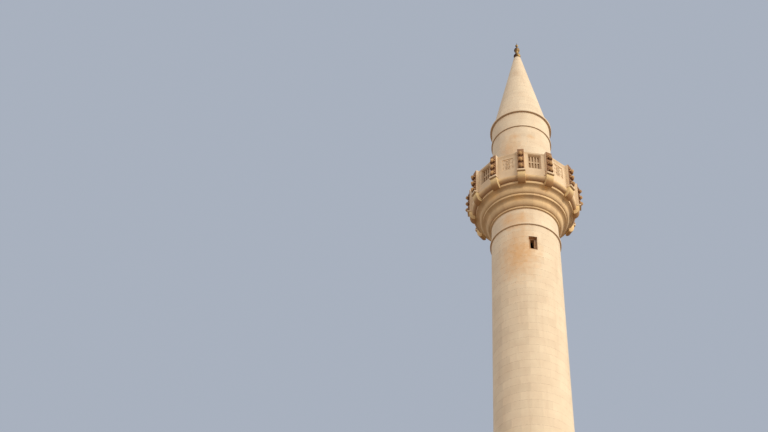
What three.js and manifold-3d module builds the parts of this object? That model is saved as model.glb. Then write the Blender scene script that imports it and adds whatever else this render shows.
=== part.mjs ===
// Round stone minaret: square hollow pedestal, hollow shaft, twelve-sided gallery on corbelled rolls,
// upper drum, conical stone roof and a metal finial. Millimetres, +Z up.
// The origin is the centre of the plinth's underside. Azimuth 0 faces -Y and turns towards +X.
import * as THREE from 'three';
import { mergeVertices } from 'three/addons/utils/BufferGeometryUtils.js';
import { ConvexGeometry } from 'three/addons/geometries/ConvexGeometry.js';
import Module from 'manifold-3d';

const wasm = await Module();
wasm.setup();

// Clearance between pieces that touch
const GAP = 0.3;

// Distance under which corners count as one, overlap of joined shapes, and a tool's reach past what it cuts
const SAME_POINT = 1e-3;
const JOIN_OVERLAP = 1;
const TOOL_REACH = 50;

// Facets round the tower, three to each of the gallery's twelve bays
const BAYS = 12;
const FACETS = 3 * BAYS;
const BAY_ANGLE = (2 * Math.PI) / BAYS;
const HALF_BAY = BAY_ANGLE / 2;

// Round walls
const SHAFT_R = 1200;
const DRUM_R = 1120;
const BORE_R = 900;

// Square foot of the tower
const PLINTH_SIDE = 3700;
const PLINTH_H = 450;
const STEP_WIDTH = 1300;
const STEP_DEPTH = 350;
const STEP_H = 225;
const PEDESTAL_SIDE = 3300;
const PEDESTAL_WALL = 600;
const PEDESTAL_TOP = 4800;
const DOOR_WIDTH = 900;
const DOOR_SPRING_H = 1750;
const DOOR_RISE = 260;
const DOOR_ARC_STEPS = 10;

// From square to round
const PEDESTAL_CORNICE_H = 260;
const PEDESTAL_CORNICE_OUT = 110;
const TRANSITION_TOP = 7300;
const TRANSITION_TOP_APOTHEM = 1340;
const OCTAGON_SIDES = 8;
const BASE_RING_H = 300;
const BASE_BEAD = { r: 1310, margin: 60, rise: 88 };
const BASE_RING_TOP_R = 1250;

// Shaft, in three lifts under the gallery
const LIFTS = ['lower', 'middle', 'upper'];
const ASTRAGAL_Z = 24700;
const SHAFT_FOOT = TRANSITION_TOP + BASE_RING_H;

// Slit windows, each a square-cut recess with a narrow slot behind it
const WINDOW_WIDTH = 290;
const WINDOW_H = 590;
const WINDOW_RECESS = 145;
const SLOT_WIDTH = 138;
const SLOT_H = 400;
const SLOT_RISE = 65;
const WINDOW_AZIMUTH = 13.5;
const WINDOW_TURN = 120;
const WINDOW_BELOW_LIFT = 845;

// Gallery heights above the astragal, from its neck to the parapet's coping
const NECK_R = 1188;
const ASTRAGAL_BAND = { r: 1250, top: 65, slope: 20 };
const FILLET_LOW = { r: 1245, foot: 800, top: 872 };
const FILLET_MID = { r: 1510, foot: 1168, top: 1258 };
const FILLET_HIGH = { r: 1752, foot: 1525, top: 1625 };
const ROLL = { steps: 6, start_out: 12, end_in: 12 };
const LOWER_WAIST = { r: 1360, height: 1060 };
const UPPER_WAIST = { r: 1600, height: 1420 };
const CORNICE = { r: 1895, start_out: 8, round_top: 1755, top: 1790 };
const FLOOR_TOP = CORNICE.top + GAP + 100;

// Parapet of flat panels between posts
const PANEL_FACE = 1850;
const PANEL_BACK = 1670;
const PANEL_TOP = 3015;
const COPING_H = 85;
const COPING_OUT = 10;
const NICHE = { width: 480, back_width: 400, depth: 90, foot: 2195, top: 2930, back_top: 2890 };
const LATTICE = { columns: 4, pitch: 105, width: 60, depth: 45, foot: 2299, height: 255, rows: 2, step: 325 };

// Posts with a shelf, a console under it and three carved bosses
const POST_WIDTH = 235;
const POST_FACE = 1995;
const POST_BACK = (PANEL_BACK - GAP) / Math.cos(HALF_BAY) + GAP;
const POST_TOP = 3045;
const SHELF = { width: 290, r: 2070, foot: 1858, top: 1936, back: CORNICE.r + 5 };
const CONSOLE = { width: 270, face: 2000, shoulder: 1800, foot: 1455, foot_r: 1800, steps: 6 };
const BOSS = { width: 200, out: 160, height: 300, pitch: 325, first: 2115, count: 3, steps: 6, sunk: 20 };

// Upper drum, frieze and eave above the astragal
const DRUM_DOOR_WIDTH = 620;
const DRUM_DOOR_H = 1700;
const FRIEZE = { foot: 5360, band_r: 1162, band_top: 5428, slope: 8, r: 1127, top: 6206 };
const EAVE = { r: 1205, fascia_top: 6276, top: 6300, rim: 12 };

// Spire: a straight cone whose lines would meet at the apex
const SPIRE_SLOPE = 0.193;
const SPIRE_APEX = 12050;
const SPIRE_WALL = 185;
const SPIRE_JOINT = 8800;
const SPIRE_TOP = 11250;

// Finial: three balls, each with the stem's radius under and over it
const FINIAL_FOOT = { r: 95, height: 22, neck: 60 };
const FINIAL_BALLS = [
  { z: 210, r: 150, flat: 0.9, under: 80, over: 72 },
  { z: 655, r: 122, flat: 1.05, under: 72, over: 34 },
  { z: 985, r: 62, flat: 1.1, under: 34, over: 20 },
];
const FINIAL_TIP = 1210;
const FINIAL_STEPS = 8;
const FINIAL_FACETS = 18;

const limestone = new THREE.MeshStandardMaterial({ color: 0xe5cda4, roughness: 0.9, metalness: 0 });
const ochreStone = new THREE.MeshStandardMaterial({ color: 0xd8b57c, roughness: 0.9, metalness: 0 });
const carvedStone = new THREE.MeshStandardMaterial({ color: 0xb98e55, roughness: 0.92, metalness: 0 });
const bronze = new THREE.MeshStandardMaterial({ color: 0x9a6a2c, roughness: 0.4, metalness: 1 });

const tower = new THREE.Group();
const gallery = new THREE.Group();
gallery.position.z = ASTRAGAL_Z;
tower.add(gallery);

// The solid of a closed geometry
function solid(geometry) {
  const bare = geometry.clone();
  bare.deleteAttribute('normal');
  bare.deleteAttribute('uv');
  const merged = mergeVertices(bare, SAME_POINT);
  const corners = [];
  const index = merged.index.array;
  for (let i = 0; i < index.length; i += 3) {
    const [a, b, c] = [index[i], index[i + 1], index[i + 2]];
    if (a !== b && b !== c && c !== a) corners.push(a, b, c);
  }
  const vertProperties = new Float32Array(merged.attributes.position.array);
  return new wasm.Manifold(new wasm.Mesh({ numProp: 3, vertProperties, triVerts: new Uint32Array(corners) }));
}

function add(group, name, shape, material) {
  const { numProp, vertProperties, triVerts } = shape.getMesh();
  const positions = new Float32Array((vertProperties.length / numProp) * 3);
  for (let i = 0; i < positions.length / 3; i++) {
    for (let k = 0; k < 3; k++) positions[3 * i + k] = vertProperties[numProp * i + k];
  }
  const geometry = new THREE.BufferGeometry();
  geometry.setAttribute('position', new THREE.BufferAttribute(positions, 3));
  geometry.setIndex(new THREE.BufferAttribute(new Uint32Array(triVerts), 1));
  const mesh = new THREE.Mesh(geometry.toNonIndexed(), material);
  mesh.geometry.computeVertexNormals();
  mesh.name = name;
  group.add(mesh);
  return mesh;
}

// A box between its lowest and highest corners
function box([x0, y0, z0], [x1, y1, z1]) {
  const geometry = new THREE.BoxGeometry(x1 - x0, y1 - y0, z1 - z0);
  geometry.translate((x0 + x1) / 2, (y0 + y1) / 2, (z0 + z1) / 2);
  return solid(geometry);
}

// A turned ring from a closed outline of [radius, height] points, up the outside and down the inside
function turned(outline, facets = FACETS) {
  const points = [...outline, outline[0]].map(([r, z]) => new THREE.Vector2(r, z));
  const geometry = new THREE.LatheGeometry(points, facets);
  geometry.rotateX(Math.PI / 2);
  return solid(geometry);
}

// A ring whose outside follows the given points and whose inside is the bore
function course(outside) {
  const foot = outside[0][1];
  const top = outside[outside.length - 1][1];
  return turned([...outside, [BORE_R, top], [BORE_R, foot]]);
}

function cylinder(radius, foot, top) {
  return turned([[0, foot], [radius, foot], [radius, top], [0, top]]);
}

// Points of a round bulge between two outline points, standing out from their straight line by the rise
function bulge([r0, z0], [r1, z1], rise, steps) {
  const chord = Math.hypot(r1 - r0, z1 - z0);
  const radius = (chord * chord / 4 + rise * rise) / (2 * rise);
  const half = Math.asin(chord / 2 / radius);
  const along = [(r1 - r0) / chord, (z1 - z0) / chord];
  const out = [along[1], -along[0]];
  const points = [];
  for (let i = 0; i <= steps; i++) {
    const angle = half * ((2 * i) / steps - 1);
    const a = radius * Math.sin(angle) + chord / 2;
    const b = radius * Math.cos(angle) - radius + rise;
    points.push([r0 + along[0] * a + out[0] * b, z0 + along[1] * a + out[1] * b]);
  }
  return points;
}

// A convex quarter of an ellipse, which starts level at the first point and ends upright at the last
function quarterRound([r0, z0], [r1, z1], steps) {
  const points = [];
  for (let i = 0; i <= steps; i++) {
    const angle = (Math.PI / 2) * (i / steps);
    points.push([r0 + (r1 - r0) * Math.sin(angle), z1 + (z0 - z1) * Math.cos(angle)]);
  }
  return points;
}

// A hollow quarter of an ellipse, which starts upright at the first point and ends level at the last
function quarterHollow([r0, z0], [r1, z1], steps) {
  const points = [];
  for (let i = 0; i <= steps; i++) {
    const angle = (Math.PI / 2) * (i / steps);
    points.push([r1 + (r0 - r1) * Math.cos(angle), z0 + (z1 - z0) * Math.sin(angle)]);
  }
  return points;
}

// A block with a side outline of [radius, height] points, facing azimuth 0 and centred on its radial plane
function sided(outline, width) {
  const shape = new THREE.Shape(outline.map(([r, z]) => new THREE.Vector2(r, z)));
  const geometry = new THREE.ExtrudeGeometry(shape, { depth: width, bevelEnabled: false });
  geometry.translate(0, 0, -width / 2);
  const out = new THREE.Vector3(0, -1, 0);
  const up = new THREE.Vector3(0, 0, 1);
  const across = new THREE.Vector3(-1, 0, 0);
  geometry.applyMatrix4(new THREE.Matrix4().makeBasis(out, up, across));
  return solid(geometry);
}

function upright(shape, foot, top) {
  const geometry = new THREE.ExtrudeGeometry(shape, { depth: top - foot, bevelEnabled: false });
  geometry.translate(0, 0, foot);
  return solid(geometry);
}

function cut(shape, ...tools) {
  return tools.reduce((left, tool) => left.subtract(tool), shape);
}

function join(shape, ...others) {
  return others.reduce((whole, other) => whole.add(other), shape);
}

// Front and back halves of a ring, parted on the plane through the axis
function frontOf(ring, reach, foot, top) {
  return ring.intersect(box([-reach, -reach, foot], [reach, -GAP / 2, top]));
}

function backOf(ring, reach, foot, top) {
  return ring.intersect(box([-reach, GAP / 2, foot], [reach, reach, top]));
}

function buildFoot() {
  const half = PLINTH_SIDE / 2;
  add(tower, 'plinth', box([-half, -half, 0], [half, half, PLINTH_H]), limestone);
  const stepFront = -half - STEP_DEPTH;
  const step = box([-STEP_WIDTH / 2, stepFront, 0], [STEP_WIDTH / 2, -half - GAP, STEP_H]);
  add(tower, 'door_step', step, limestone);
}

function buildPedestal() {
  const out = PEDESTAL_SIDE / 2;
  const inner = out - PEDESTAL_WALL;
  const foot = PLINTH_H + GAP;
  const top = PEDESTAL_TOP;
  const jamb = DOOR_WIDTH / 2;
  const spring = foot + DOOR_SPRING_H;
  add(tower, 'pedestal_wall_left', box([-out, -out, foot], [-inner, out, top]), limestone);
  add(tower, 'pedestal_wall_right', box([inner, -out, foot], [out, out, top]), limestone);
  add(tower, 'pedestal_wall_back', box([-inner + GAP, inner, foot], [inner - GAP, out, top]), limestone);
  add(tower, 'door_jamb_left', box([-inner + GAP, -out, foot], [-jamb - GAP, -inner, top]), limestone);
  add(tower, 'door_jamb_right', box([jamb + GAP, -out, foot], [inner - GAP, -inner, top]), limestone);
  const arch = [];
  for (let i = 0; i <= DOOR_ARC_STEPS; i++) {
    const x = jamb * ((2 * i) / DOOR_ARC_STEPS - 1);
    arch.push(new THREE.Vector2(x, spring + DOOR_RISE * Math.sqrt(1 - (x / jamb) ** 2)));
  }
  const head = new THREE.Shape([...arch, new THREE.Vector2(jamb, top), new THREE.Vector2(-jamb, top)]);
  const headBlock = new THREE.ExtrudeGeometry(head, { depth: PEDESTAL_WALL, bevelEnabled: false });
  headBlock.rotateX(Math.PI / 2);
  headBlock.translate(0, -inner, 0);
  add(tower, 'door_head', solid(headBlock), limestone);
}

function buildTransition() {
  const foot = PEDESTAL_TOP + GAP;
  const top = PEDESTAL_TOP + PEDESTAL_CORNICE_H;
  const out = PEDESTAL_SIDE / 2 + PEDESTAL_CORNICE_OUT;
  const neck = PEDESTAL_SIDE / 2 + PEDESTAL_CORNICE_OUT / 2;
  const middle = (foot + top) / 2;
  const slab = join(box([-neck, -neck, foot], [neck, neck, top]), box([-out, -out, middle], [out, out, top]));
  add(tower, 'pedestal_cornice', cut(slab, cylinder(BORE_R, foot - GAP, top + GAP)), limestone);

  const square = PEDESTAL_SIDE / 2;
  const corners = [];
  for (const x of [-square, square]) {
    for (const y of [-square, square]) corners.push(new THREE.Vector3(x, y, top + GAP));
  }
  const halfSide = Math.PI / OCTAGON_SIDES;
  const cornerR = TRANSITION_TOP_APOTHEM / Math.cos(halfSide);
  for (let i = 0; i < OCTAGON_SIDES; i++) {
    const angle = halfSide * (2 * i + 1);
    corners.push(new THREE.Vector3(cornerR * Math.cos(angle), cornerR * Math.sin(angle), TRANSITION_TOP));
  }
  const block = cut(solid(new ConvexGeometry(corners)), cylinder(BORE_R, PEDESTAL_TOP, TRANSITION_TOP + GAP));
  add(tower, 'transition_block', block, limestone);

  const ringFoot = TRANSITION_TOP + GAP;
  const beadFoot = [BASE_BEAD.r, ringFoot + BASE_BEAD.margin];
  const beadTop = [BASE_BEAD.r, SHAFT_FOOT - BASE_BEAD.margin];
  const bead = bulge(beadFoot, beadTop, BASE_BEAD.rise, ROLL.steps);
  const outside = [[TRANSITION_TOP_APOTHEM, ringFoot], ...bead, [BASE_RING_TOP_R, SHAFT_FOOT]];
  add(tower, 'shaft_base_ring', course(outside), limestone);
}

// A tool that cuts a slit window through the shaft wall at an azimuth, its recess centred on a height
function windowTool(azimuth, height) {
  const foot = height - WINDOW_H / 2;
  const wide = WINDOW_WIDTH / 2;
  const narrow = SLOT_WIDTH / 2;
  const recess = box([-wide, -SHAFT_R - TOOL_REACH, foot], [wide, -SHAFT_R + WINDOW_RECESS, foot + WINDOW_H]);
  const slotFoot = height - SLOT_H / 2 + SLOT_RISE;
  const slot = box([-narrow, -SHAFT_R, slotFoot], [narrow, -BORE_R + TOOL_REACH, slotFoot + SLOT_H]);
  return join(recess, slot).rotate([0, 0, azimuth]);
}

function buildShaft() {
  const liftH = (ASTRAGAL_Z - SHAFT_FOOT) / LIFTS.length;
  const reach = 2 * SHAFT_R;
  LIFTS.forEach((lift, i) => {
    const foot = SHAFT_FOOT + i * liftH + GAP;
    const top = SHAFT_FOOT + (i + 1) * liftH;
    const azimuth = WINDOW_AZIMUTH + (LIFTS.length - 1 - i) * WINDOW_TURN;
    const wall = cut(course([[SHAFT_R, foot], [SHAFT_R, top]]), windowTool(azimuth, top - WINDOW_BELOW_LIFT));
    add(tower, `shaft_${lift}_front`, frontOf(wall, reach, foot, top), limestone);
    add(tower, `shaft_${lift}_back`, backOf(wall, reach, foot, top), limestone);
  });
}

function neckOutline() {
  return [
    [ASTRAGAL_BAND.r, GAP],
    [ASTRAGAL_BAND.r, ASTRAGAL_BAND.top],
    [NECK_R, ASTRAGAL_BAND.top + ASTRAGAL_BAND.slope],
    [NECK_R, FILLET_LOW.foot],
    [FILLET_LOW.r, FILLET_LOW.foot],
    [FILLET_LOW.r, FILLET_LOW.top],
  ];
}

// Outline of a corbel roll: round up to its waist, then hollow out to the fillet above it
function rollOutline(below, waist, above) {
  const start = [below.r + ROLL.start_out, below.top + GAP];
  const middle = [waist.r, waist.height];
  return [
    ...quarterRound(start, middle, ROLL.steps),
    ...quarterHollow(middle, [above.r - ROLL.end_in, above.foot], ROLL.steps).slice(1),
    [above.r, above.foot],
    [above.r, above.top],
  ];
}

function corniceOutline() {
  const start = [FILLET_HIGH.r + CORNICE.start_out, FILLET_HIGH.top + GAP];
  return [...quarterRound(start, [CORNICE.r, CORNICE.round_top], ROLL.steps), [CORNICE.r, CORNICE.top]];
}

function buildCorbels() {
  add(gallery, 'gallery_neck', course(neckOutline()), limestone);
  add(gallery, 'corbel_lower', course(rollOutline(FILLET_LOW, LOWER_WAIST, FILLET_MID)), ochreStone);
  add(gallery, 'corbel_upper', course(rollOutline(FILLET_MID, UPPER_WAIST, FILLET_HIGH)), ochreStone);
  add(gallery, 'gallery_cornice', course(corniceOutline()), ochreStone);
}

function buildFloor() {
  const cornerR = (PANEL_BACK - GAP) / Math.cos(HALF_BAY);
  const corners = [];
  for (let i = 0; i < BAYS; i++) {
    const angle = i * BAY_ANGLE;
    corners.push(new THREE.Vector2(cornerR * Math.sin(angle), -cornerR * Math.cos(angle)));
  }
  const slab = upright(new THREE.Shape(corners), CORNICE.top + GAP, FLOOR_TOP);
  const bore = cylinder(BORE_R, CORNICE.top, FLOOR_TOP + GAP);
  add(gallery, 'gallery_floor', cut(slab, bore), limestone);
}

// Plan of a panel between two posts, whose ends stay parallel to the posts' sides
function bayPlan(back, face) {
  const halfWidth = (apothem) => {
    return (apothem * Math.sin(HALF_BAY) - POST_WIDTH / 2 - GAP) / Math.cos(HALF_BAY);
  };
  return new THREE.Shape([
    new THREE.Vector2(-halfWidth(face), -face),
    new THREE.Vector2(halfWidth(face), -face),
    new THREE.Vector2(halfWidth(back), -back),
    new THREE.Vector2(-halfWidth(back), -back),
  ]);
}

function latticeSlots() {
  const slots = [];
  for (let row = 0; row < LATTICE.rows; row++) {
    for (let column = 0; column < LATTICE.columns; column++) {
      const x = (column - (LATTICE.columns - 1) / 2) * LATTICE.pitch;
      const foot = LATTICE.foot + row * LATTICE.step;
      const low = [x - LATTICE.width / 2, -PANEL_FACE - TOOL_REACH, foot];
      const deep = -PANEL_FACE + NICHE.depth + LATTICE.depth;
      const high = [x + LATTICE.width / 2, deep, foot + LATTICE.height];
      slots.push(box(low, high));
    }
  }
  return slots;
}

// The sunk field of a lattice panel, which narrows towards its back
function nicheTool() {
  const front = NICHE.width / 2;
  const back = NICHE.back_width / 2;
  const mouth = box([-front, -PANEL_FACE - TOOL_REACH, NICHE.foot], [front, -PANEL_FACE, NICHE.top]);
  const deep = box([-back, -PANEL_FACE, NICHE.foot], [back, -PANEL_FACE + NICHE.depth, NICHE.back_top]);
  return join(mouth, deep).hull();
}

function buildPanels() {
  const foot = CORNICE.top + GAP;
  const slab = upright(bayPlan(PANEL_BACK, PANEL_FACE), foot, PANEL_TOP);
  const coping = upright(bayPlan(PANEL_BACK, PANEL_FACE + COPING_OUT), PANEL_TOP - COPING_H, PANEL_TOP);
  const solidPanel = join(slab, coping);
  const latticePanel = cut(solidPanel, nicheTool(), ...latticeSlots());
  for (let i = 0; i < BAYS; i++) {
    const shape = i % 2 === 0 ? latticePanel : solidPanel;
    const panel = add(gallery, `parapet_panel_${i + 1}`, shape, limestone);
    panel.rotation.z = HALF_BAY + i * BAY_ANGLE;
  }
}

// Stone that the consoles fit against: the cornice and the fillet under it, grown by the clearance
function consoleSeat() {
  const grown = [...rollOutline(FILLET_MID, UPPER_WAIST, FILLET_HIGH), ...corniceOutline()];
  const outside = grown.map(([r, z]) => [r + GAP, z]);
  const top = CORNICE.top + GAP;
  return course([...outside, [CORNICE.r + GAP, top]]);
}

function bossOutline(height) {
  const points = [];
  for (let i = 0; i <= BOSS.steps; i++) {
    const angle = Math.PI * (i / BOSS.steps - 0.5);
    points.push([POST_FACE + BOSS.out * Math.cos(angle), height + (BOSS.height / 2) * Math.sin(angle)]);
  }
  const back = POST_FACE - BOSS.sunk;
  return [[back, height - BOSS.height / 2], ...points, [back, height + BOSS.height / 2]];
}

function postShape() {
  const foot = CORNICE.top + GAP;
  const core = [[POST_BACK, foot], [POST_FACE, foot], [POST_FACE, POST_TOP], [POST_BACK, POST_TOP]];
  const { r, back } = SHELF;
  const shelf = [[back, SHELF.foot], [r, SHELF.foot], [r, SHELF.top], [back, SHELF.top]];
  const curve = quarterRound([CONSOLE.foot_r, CONSOLE.foot], [CONSOLE.face, CONSOLE.shoulder], CONSOLE.steps);
  const console = [
    [FILLET_MID.r, CONSOLE.foot],
    ...curve,
    [CONSOLE.face, SHELF.foot + JOIN_OVERLAP],
    [back, SHELF.foot + JOIN_OVERLAP],
    [back, CORNICE.top],
    [FILLET_MID.r, CORNICE.top],
  ];
  const bosses = [];
  for (let i = 0; i < BOSS.count; i++) {
    bosses.push(sided(bossOutline(BOSS.first + i * BOSS.pitch), BOSS.width));
  }
  const bracket = cut(sided(console, CONSOLE.width), consoleSeat());
  return join(sided(core, POST_WIDTH), sided(shelf, SHELF.width), bracket, ...bosses);
}

function buildPosts() {
  const shape = postShape();
  for (let i = 0; i < BAYS; i++) {
    const post = add(gallery, `gallery_post_${i + 1}`, shape, carvedStone);
    post.rotation.z = i * BAY_ANGLE;
  }
}

function buildDrum() {
  const foot = FLOOR_TOP + GAP;
  const top = FRIEZE.foot - GAP;
  const reach = 2 * DRUM_R;
  const wall = course([[DRUM_R, foot], [DRUM_R, top]]);
  const jamb = DRUM_DOOR_WIDTH / 2;
  const doorTop = foot + DRUM_DOOR_H;
  const back = backOf(wall, reach, foot, top);
  add(gallery, 'drum_front', frontOf(wall, reach, foot, top), limestone);
  add(gallery, 'drum_back_left', back.intersect(box([jamb, 0, foot], [reach, reach, top])), limestone);
  add(gallery, 'drum_back_right', back.intersect(box([-reach, 0, foot], [-jamb, reach, top])), limestone);
  const head = box([-jamb + GAP, 0, doorTop], [jamb - GAP, reach, top]);
  add(gallery, 'drum_door_head', back.intersect(head), limestone);
}

function buildFrieze() {
  const frieze = [
    [FRIEZE.band_r, FRIEZE.foot],
    [FRIEZE.band_r, FRIEZE.band_top],
    [FRIEZE.r, FRIEZE.band_top + FRIEZE.slope],
    [FRIEZE.r, FRIEZE.top - GAP],
  ];
  add(gallery, 'frieze_course', course(frieze), limestone);
  const rim = spireRadius(EAVE.top) + EAVE.rim;
  const eave = [[EAVE.r, FRIEZE.top], [EAVE.r, EAVE.fascia_top], [rim, EAVE.top]];
  add(gallery, 'eave_course', course(eave), limestone);
}

function spireRadius(height) {
  return SPIRE_SLOPE * (SPIRE_APEX - height);
}

function buildSpire() {
  const foot = EAVE.top + GAP;
  const joint = SPIRE_JOINT;
  const hollowTop = SPIRE_APEX - SPIRE_WALL / SPIRE_SLOPE;
  const lower = [
    [spireRadius(foot), foot],
    [spireRadius(joint), joint],
    [spireRadius(joint) - SPIRE_WALL, joint],
    [spireRadius(foot) - SPIRE_WALL, foot],
  ];
  const upper = [
    [spireRadius(joint), joint + GAP],
    [spireRadius(SPIRE_TOP), SPIRE_TOP],
    [0, SPIRE_TOP],
    [0, hollowTop],
    [spireRadius(joint) - SPIRE_WALL, joint + GAP],
  ];
  add(gallery, 'spire_lower', turned(lower), limestone);
  add(gallery, 'spire_upper', turned(upper), limestone);
}

function ballOutline({ z, r, flat, under, over }) {
  const points = [];
  const start = -Math.acos(under / r);
  const end = Math.acos(over / r);
  for (let i = 0; i <= FINIAL_STEPS; i++) {
    const angle = start + ((end - start) * i) / FINIAL_STEPS;
    points.push([r * Math.cos(angle), z + r * flat * Math.sin(angle)]);
  }
  return points;
}

function buildFinial() {
  const foot = SPIRE_TOP + GAP;
  const outline = [
    [0, 0],
    [FINIAL_FOOT.r, 0],
    [FINIAL_FOOT.r, FINIAL_FOOT.height],
    [FINIAL_BALLS[0].under, FINIAL_FOOT.neck],
    ...FINIAL_BALLS.flatMap(ballOutline),
    [0, FINIAL_TIP],
  ];
  add(gallery, 'finial', turned(outline.map(([r, z]) => [r, foot + z]), FINIAL_FACETS), bronze);
}

buildFoot();
buildPedestal();
buildTransition();
buildShaft();
buildCorbels();
buildFloor();
buildPanels();
buildPosts();
buildDrum();
buildFrieze();
buildSpire();
buildFinial();

export default tower;
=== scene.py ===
"""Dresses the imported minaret: ashlar walls, turned corbels, carved gallery, stone spire and metal finial."""
import logging
import math
import random
from collections.abc import Callable
from dataclasses import dataclass
from enum import Enum
from functools import cache

import bpy
from mathutils import Matrix, Vector


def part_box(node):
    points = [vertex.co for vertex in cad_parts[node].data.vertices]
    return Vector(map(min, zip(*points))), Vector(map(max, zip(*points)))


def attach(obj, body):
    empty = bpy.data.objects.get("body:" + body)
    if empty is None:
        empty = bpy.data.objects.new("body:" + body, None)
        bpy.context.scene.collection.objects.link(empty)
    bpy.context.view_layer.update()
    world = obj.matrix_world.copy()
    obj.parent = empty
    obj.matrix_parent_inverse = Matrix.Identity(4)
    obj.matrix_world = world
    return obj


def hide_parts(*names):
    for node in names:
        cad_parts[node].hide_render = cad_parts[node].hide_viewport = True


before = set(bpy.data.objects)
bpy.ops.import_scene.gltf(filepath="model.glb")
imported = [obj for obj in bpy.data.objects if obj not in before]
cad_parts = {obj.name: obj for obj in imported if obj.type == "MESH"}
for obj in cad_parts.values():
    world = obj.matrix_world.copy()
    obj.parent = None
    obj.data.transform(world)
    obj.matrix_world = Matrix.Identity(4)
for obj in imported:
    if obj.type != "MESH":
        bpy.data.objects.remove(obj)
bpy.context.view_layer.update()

BODY = "root"
LOG = logging.getLogger("minaret")
Point = tuple[float, float]
Piece = bpy.types.Object
Face = bpy.types.MeshPolygon
# Painted shade that a piece adds for a place and a normal.
PaintedShade = Callable[[Vector, Vector], float]
Triple = tuple[float, float, float]
Colour = tuple[float, float, float, float]

BAYS = 12
BAY_DEG = 360 / BAYS
# The thin ring under the gallery, from which the heights over the shaft are measured.
ASTRAGAL = round(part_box("gallery_neck")[0].z, 2)
BORE_R = 0.9
# The mesh attributes that the materials read.
TONE = "stone_tone"
JOINT = "joint"
# The last is painted shade: how much a face's corners are darkened, most on undersides and in hollows.
SHADE_PAINT = "shade_paint"
# Corners closer than this become one, in a closed piece and in an outline.
MERGE = 1e-5
OUTLINE_MERGE = 1e-6
# Steps of an arc in an outline.
ARC_STEPS = 12
# How far a cutting tool reaches past the stone, and the least overlap that counts as a cut.
PAST = 0.05
TOUCH = 0.001
# A face whose normal is this upright is a bed, and the skin of a wall is this thick.
BED_NORMAL = 0.6
SKIN = 0.08
# A face that looks straight out or in has at least this share of its normal that way.
FACING = 0.6
# Painted shade on the side walls of holes.
HOLE_SHADE = 0.35
# A bevel takes off edges that are sharper than this, in degrees.
SHARP_DEG = 35
PETALS = 8
SEED = 1731


class Slot(Enum):
    """The record's material slots."""

    LIMESTONE = "limestone"
    OCHRE = "ochre_stone"
    CARVED = "carved_stone"
    BRONZE = "bronze"


def leave_edit() -> None:
    """Goes back to object mode."""
    if bpy.context.object and bpy.context.object.mode != "OBJECT":
        bpy.ops.object.mode_set(mode="OBJECT")


def pick(*pieces: Piece) -> None:
    """Selects only these pieces and makes the first one active."""
    leave_edit()
    bpy.ops.object.select_all(action="DESELECT")
    for piece in pieces:
        piece.select_set(True)
    bpy.context.view_layer.objects.active = pieces[0]


def edit_all(piece: Piece) -> None:
    """Opens a piece in edit mode with everything selected."""
    pick(piece)
    bpy.ops.object.mode_set(mode="EDIT")
    bpy.ops.mesh.select_all(action="SELECT")


def edit_faces(piece: Piece, wanted: Callable[[Face], bool]) -> None:
    """Opens a piece in edit mode with the wanted faces selected."""
    pick(piece)
    mesh = piece.data
    for item in (*mesh.vertices, *mesh.edges):
        item.select = False
    for face in mesh.polygons:
        face.select = bool(wanted(face))
    bpy.ops.object.mode_set(mode="EDIT")
    bpy.ops.mesh.select_mode(type="FACE")


def close_up(piece: Piece) -> None:
    """Merges doubles and turns all faces of a closed piece outwards."""
    edit_all(piece)
    bpy.ops.mesh.remove_doubles(threshold=MERGE)
    bpy.ops.mesh.normals_make_consistent(inside=False)
    leave_edit()


def drawn(name: str, points: list[Point]) -> Piece:
    """Draws a closed outline in the upright plane that faces azimuth 0.

    Args:
        name: the new object's name.
        points: radius and height of each corner, in metres.

    Returns:
        A mesh of edges only.
    """
    bpy.ops.object.select_all(action="DESELECT")
    bpy.ops.mesh.primitive_plane_add(size=0.01, location=(0, 0, 0))
    piece = bpy.context.object
    piece.name = piece.data.name = name
    bpy.ops.object.mode_set(mode="EDIT")
    bpy.ops.mesh.select_mode(type="VERT")
    bpy.ops.mesh.select_all(action="SELECT")
    bpy.ops.mesh.merge(type="CENTER")
    bpy.ops.transform.translate(value=(0, -points[0][0], points[0][1]))
    for (r0, z0), (r1, z1) in zip(points, [*points[1:], points[0]]):
        step = {"value": (0, r0 - r1, z1 - z0)}
        bpy.ops.mesh.extrude_region_move(TRANSFORM_OT_translate=step)
    bpy.ops.mesh.select_all(action="SELECT")
    bpy.ops.mesh.remove_doubles(threshold=OUTLINE_MERGE)
    return piece


def spun(name: str, points: list[Point], steps: int) -> Piece:
    """Turns a closed outline once round the tower's axis."""
    piece = drawn(name, points)
    bpy.ops.mesh.select_all(action="SELECT")
    bpy.ops.mesh.spin(
        steps=steps, dupli=False, angle=2 * math.pi, use_auto_merge=True, center=(0, 0, 0), axis=(0, 0, 1)
    )
    close_up(piece)
    return piece


def slab(name: str, points: list[Point], width: float) -> Piece:
    """Pulls a filled side outline out to a width, centred on the plane that faces azimuth 0."""
    piece = drawn(name, points)
    bpy.ops.mesh.edge_face_add()
    bpy.ops.transform.translate(value=(-width / 2, 0, 0))
    bpy.ops.mesh.extrude_region_move(TRANSFORM_OT_translate={"value": (width, 0, 0)})
    close_up(piece)
    return piece


def cuboid(name: str, low: Triple, high: Triple) -> Piece:
    """Adds a cube primitive between two corners, with its place in its mesh."""
    bpy.ops.object.select_all(action="DESELECT")
    bpy.ops.mesh.primitive_cube_add(size=1, location=(0, 0, 0))
    piece = bpy.context.object
    piece.name = piece.data.name = name
    edit_all(piece)
    bpy.ops.transform.resize(value=tuple(b - a for a, b in zip(low, high)))
    bpy.ops.transform.translate(value=[(a + b) / 2 for a, b in zip(low, high)])
    leave_edit()
    return piece


def bevelled(piece: Piece, width: float, segments: int = 2) -> Piece:
    """Rounds the sharp edges of a piece by an applied bevel."""
    pick(piece)
    bevel = piece.modifiers.new("soft_edge", "BEVEL")
    bevel.width = width
    bevel.segments = segments
    bevel.limit_method = "ANGLE"
    bevel.angle_limit = math.radians(SHARP_DEG)
    bpy.ops.object.modifier_apply(modifier=bevel.name)
    return piece


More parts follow.
